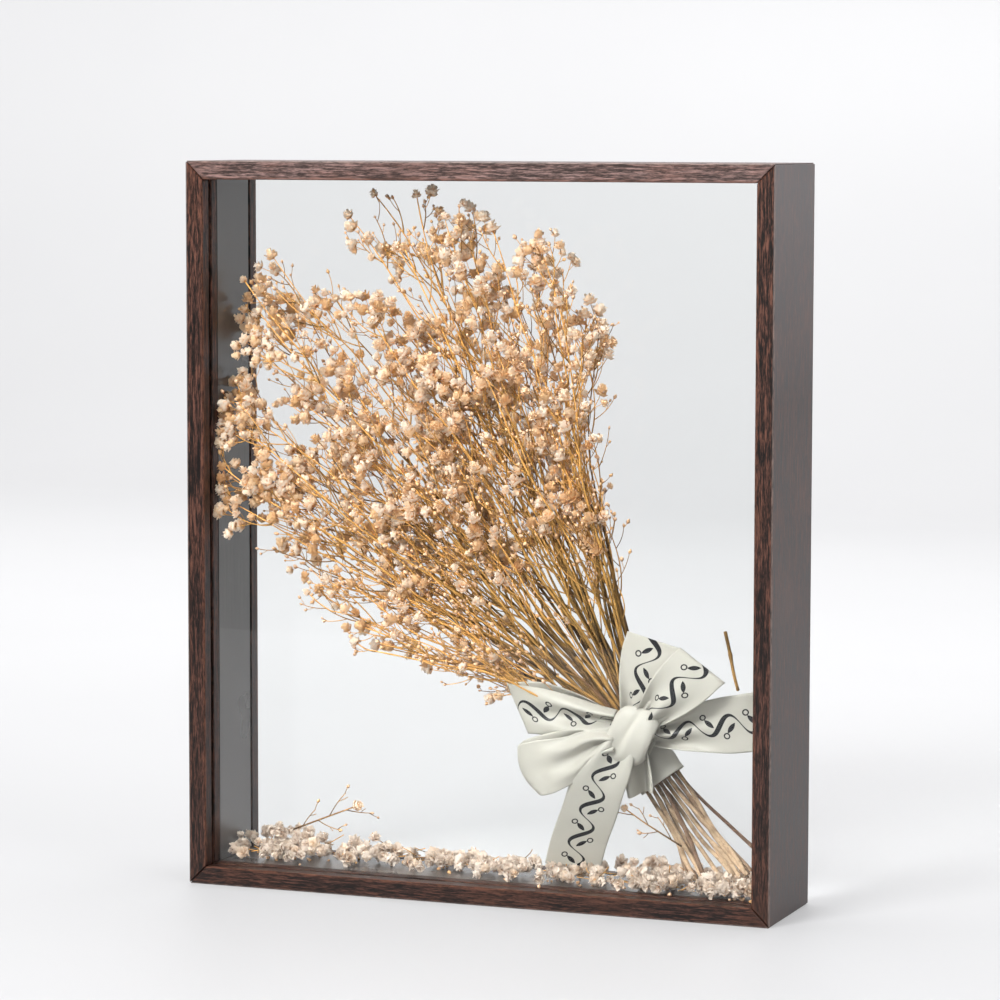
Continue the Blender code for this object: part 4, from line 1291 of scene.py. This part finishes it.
# each piece: name, printed, shift along the print, pleats, stations of (x, y, z, half width, lean, bulge, fold)
RIBBONS = (
    ("satin_loop_left_upper", True, 0.0, 1.6, (
        (0.0590, -0.0080, 0.0800, 0.0040, 100, 0, 0.9), (0.0500, -0.0078, 0.0798, 0.0062, 99, 0, 0.9),
        (0.0400, -0.0074, 0.0803, 0.0085, 101, 0, 0.8), (0.0270, -0.0070, 0.0816, 0.0105, 108, 0, 0.5),
        (0.0150, -0.0066, 0.0822, 0.0113, 114, 0, 0.1), (0.0128, -0.0052, 0.0820, 0.0115, 115, 0, 0.0),
        (0.0150, -0.0036, 0.0826, 0.0115, 114, 0, 0.0), (0.0270, -0.0030, 0.0835, 0.0105, 106, 0, 0.4),
        (0.0420, -0.0030, 0.0815, 0.0080, 100, 0, 0.7), (0.0560, -0.0034, 0.0785, 0.0045, 95, 0, 0.9),
    )),
    ("satin_loop_left_lower", False, 0.0, 2.0, (
        (0.0600, -0.0150, 0.0715, 0.0045, 95, 0, 0.9), (0.0500, -0.0148, 0.0695, 0.0068, 105, 0, 0.9),
        (0.0400, -0.0144, 0.0635, 0.0095, 112, 0, 0.7), (0.0290, -0.0142, 0.0595, 0.0117, 114, 0.0008, 0.3),
        (0.0222, -0.0138, 0.0575, 0.0119, 116, 0.0022, 0.0), (0.0200, -0.0112, 0.0570, 0.0108, 116, 0.0034, 0.0),
        (0.0222, -0.0084, 0.0588, 0.0116, 116, 0.0022, 0.0), (0.0310, -0.0080, 0.0622, 0.0112, 114, 0.0008, 0.3),
        (0.0430, -0.0084, 0.0675, 0.0085, 108, 0, 0.7), (0.0560, -0.0090, 0.0715, 0.0045, 100, 0, 0.9),
    )),
    ("satin_loop_right_upper", True, 0.6, 1.5, (
        (0.0700, -0.0118, 0.0790, 0.0042, 148, 0, 0.9), (0.0762, -0.0136, 0.0845, 0.0068, 143, 0, 0.9),
        (0.0830, -0.0144, 0.0915, 0.0100, 143, 0, 0.6), (0.0900, -0.0142, 0.0985, 0.0118, 144, 0, 0.2),
        (0.0960, -0.0134, 0.1045, 0.0121, 145, 0, 0.0), (0.0975, -0.0116, 0.1060, 0.0121, 145, 0, 0.0),
        (0.0950, -0.0094, 0.1045, 0.0120, 145, 0, 0.0), (0.0880, -0.0088, 0.0975, 0.0110, 144, 0, 0.3),
        (0.0800, -0.0090, 0.0890, 0.0080, 143, 0, 0.7), (0.0720, -0.0096, 0.0815, 0.0045, 143, 0, 0.9),
    )),
    ("satin_loop_right", True, 0.2, 1.7, (
        (0.0720, -0.0078, 0.0750, 0.0045, 95, 0, 0.9), (0.0820, -0.0072, 0.0760, 0.0070, 100, 0, 0.9),
        (0.0930, -0.0066, 0.0783, 0.0100, 103, 0, 0.6), (0.1060, -0.0060, 0.0803, 0.0120, 100, 0, 0.1),
        (0.1180, -0.0048, 0.0820, 0.0122, 96, 0, 0.0), (0.1212, -0.0018, 0.0824, 0.0122, 95, 0, 0.0),
        (0.1180, 0.0014, 0.0820, 0.0121, 95, 0, 0.0), (0.1050, 0.0026, 0.0800, 0.0110, 96, 0, 0.2),
        (0.0900, 0.0016, 0.0770, 0.0080, 96, 0, 0.6), (0.0780, -0.0006, 0.0750, 0.0045, 96, 0, 0.9),
    )),
    ("satin_tail_up", True, 0.0, 1.4, (
        (0.0640, -0.0042, 0.0780, 0.0048, 166, 0, 0.9), (0.0655, -0.0044, 0.0850, 0.0072, 163, 0, 0.8),
        (0.0680, -0.0050, 0.0950, 0.0102, 162, 0, 0.4), (0.0710, -0.0050, 0.1060, 0.0121, 163, 0, 0.1),
        (0.0738, -0.0040, 0.1145, 0.0125, 165, 0, 0.0),
    )),
    ("satin_tail_long", True, 0.05, 1.4, (
        (0.0652, -0.0120, 0.0745, 0.0046, 168, 0, 0.9), (0.0614, -0.0148, 0.0688, 0.0082, 170, 0, 0.8),
        (0.0572, -0.0156, 0.0615, 0.0108, 168, 0, 0.5), (0.0520, -0.0138, 0.0520, 0.0120, 168, 0, 0.2),
        (0.0465, -0.0085, 0.0400, 0.0124, 172, 0, 0.0), (0.0400, -0.0025, 0.0270, 0.0126, 176, 0, 0.0),
        (0.0358, 0.0020, 0.0165, 0.0127, 178, 0, 0.0), (0.0350, 0.0030, 0.0140, 0.0127, 178, 0, 0.0),
    )),
    ("satin_tail_short", False, 0.0, 1.2, (
        (0.0690, -0.0100, 0.0700, 0.0050, 175, 0, 0.8), (0.0690, -0.0080, 0.0620, 0.0060, 176, 0, 0.8),
        (0.0690, -0.0064, 0.0540, 0.0064, 182, 0, 0.8), (0.0692, -0.0056, 0.0490, 0.0060, 196, 0, 0.8),
    )),
)


# each lamp: name, place, aim, size, watts
LAMPS = (
    ("key softbox", (-0.60, -1.75, 1.45), (0.0, 0.0, 0.12), (0.8, 0.8), 50.5),
    ("top softbox", (-0.1, 0.4, 1.7), (0.0, 0.0, 0.10), (1.4, 1.0), 20.0),
    ("left softbox", (-1.7, -0.1, 0.8), (0.0, 0.0, 0.15), (1.0, 1.2), 5.0),
    ("backdrop light", (-0.85, 0.55, 1.2), (-0.85, 2.1, 0.62), (3.0, 0.3), 31.0),
    ("low fill", (0.10, -1.70, 0.22), (0.0, 0.0, 0.06), (0.5, 0.3), 2.6),
    ("right fill", (1.4, -0.55, 1.15), (0.0, 0.0, 0.22), (0.9, 1.0), 9.0),
)
CAMERA_PLACE = (0.5938, -1.535, 0.3292)
CAMERA_TURN = (21.08, 5.5, 0.11)  # yaw, downward pitch and roll, in degrees
LENS, SENSOR = 139.07, 36.0


class FLOWERFRAME_OT_stage(bpy.types.Operator):
    """Set the floor, the backdrop, the lights and the camera"""

    bl_idname = "flowerframe.stage"
    bl_label = "Stage"

    def execute(self, context):
        scene = context.scene
        sweep_backdrop()
        world = bpy.data.worlds.new("soft room")
        scene.world = world
        world.use_nodes = True
        sky = world.node_tree.nodes["Background"]
        sky.inputs["Color"].default_value = (0.95, 0.95, 0.955, 1.0)
        sky.inputs["Strength"].default_value = 0.26
        for lamp in LAMPS:
            add_lamp(*lamp)
        add_camera(scene)
        scene.view_settings.view_transform = "Standard"
        return {"FINISHED"}


def sweep_backdrop():
    """The floor and the wall as one sheet: a profile of floor, quarter circle and wall, carried along X.

    It glows a little, as a light table does, so that it stays even from front to back.
    """
    bend = np.radians(np.linspace(0, 90, 17))
    floor_end, radius, height, half_width, columns = 1.6, 0.5, 3.0, 3.5, 9
    ys = np.concatenate([[-0.8, -0.4, 0.0, 1.0], floor_end + radius * np.sin(bend), [floor_end + radius]])
    zs = np.concatenate([[0.0] * 4, radius * (1 - np.cos(bend)), [height]])
    xs = np.linspace(-half_width, half_width, columns)
    grid = np.stack([np.tile(xs, (len(ys), 1)), *np.tile([ys[:, None], zs[:, None]], (1, 1, columns))], -1)
    mesh = mesh_of("pale floor", grid.reshape(-1, 3), grid_quads(len(ys), columns), NO_TRIS)
    finish = Finish("pale matt floor")
    grain = finish.noise(finish.place(), 3.0, 3.0, 0.5)
    tone = finish.mix(finish.span(grain, 0.3, 0.7), (0.335, 0.335, 0.341), (0.350, 0.350, 0.356))
    finish.set(Base_Color=tone, Roughness=0.55, Emission_Color=(0.99, 0.99, 1.0), Emission_Strength=0.32)
    mesh.materials.append(finish.material)
    floor = bpy.data.objects.new("pale_floor", mesh)
    bpy.context.scene.collection.objects.link(floor)


def add_lamp(name, place, aim, size, watts):
    """A rectangular area lamp that faces its aim."""
    lamp = bpy.data.lights.new(name, "AREA")
    lamp.shape = "RECTANGLE"
    lamp.size, lamp.size_y = size
    lamp.energy = watts
    made = bpy.data.objects.new(name, lamp)
    made.location = place
    made.rotation_euler = (Vector(aim) - Vector(place)).to_track_quat("-Z", "Y").to_euler()
    bpy.context.scene.collection.objects.link(made)


def add_camera(scene):
    """A long lens a little to the right and above, looking slightly down."""
    yaw, pitch, roll = (math.radians(a) for a in CAMERA_TURN)
    ahead = Vector((-math.sin(yaw) * math.cos(pitch), math.cos(yaw) * math.cos(pitch), -math.sin(pitch)))
    right = Vector((math.cos(yaw), math.sin(yaw), 0.0))
    up = right.cross(ahead)
    right, up = right * math.cos(roll) + up * math.sin(roll), up * math.cos(roll) - right * math.sin(roll)
    lens = bpy.data.cameras.new("camera")
    lens.lens = LENS
    lens.sensor_width = SENSOR
    camera = bpy.data.objects.new("camera", lens)
    camera.matrix_world = Matrix.Translation(CAMERA_PLACE) @ Matrix((right, up, -ahead)).transposed().to_4x4()
    scene.collection.objects.link(camera)
    scene.camera = camera


STEPS = ("joinery", "panes", "stems", "sprays", "fallen", "ribbon", "stage")


class FLOWERFRAME_PT_panel(bpy.types.Panel):
    """Lists the steps and their settings"""

    bl_idname = "FLOWERFRAME_PT_panel"
    bl_label = "Flower Frame"
    bl_space_type = "VIEW_3D"
    bl_region_type = "UI"
    bl_category = "Flower Frame"

    def draw(self, context):
        for step in STEPS:
            self.layout.operator(f"flowerframe.{step}")
        for group in (context.scene.frame_looks, context.scene.bouquet_looks, context.scene.ribbon_looks):
            box = self.layout.box()
            for name in group.__annotations__:
                box.prop(group, name)


GROUPS = {"frame_looks": FrameLooks, "bouquet_looks": BouquetLooks, "ribbon_looks": RibbonLooks}
CLASSES = (
    *GROUPS.values(),
    FLOWERFRAME_OT_joinery,
    FLOWERFRAME_OT_panes,
    FLOWERFRAME_OT_stems,
    FLOWERFRAME_OT_sprays,
    FLOWERFRAME_OT_fallen,
    FLOWERFRAME_OT_ribbon,
    FLOWERFRAME_OT_stage,
    FLOWERFRAME_PT_panel,
)


def register():
    for kind in CLASSES:
        bpy.utils.register_class(kind)
    for name, kind in GROUPS.items():
        setattr(bpy.types.Scene, name, bpy.props.PointerProperty(type=kind))


def unregister():
    for name in GROUPS:
        delattr(bpy.types.Scene, name)
    for kind in reversed(CLASSES):
        bpy.utils.unregister_class(kind)


def main():
    """Registers the add-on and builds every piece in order."""
    register()
    for step in STEPS:
        getattr(bpy.ops.flowerframe, step)()


if __name__ == "__main__":
    main()
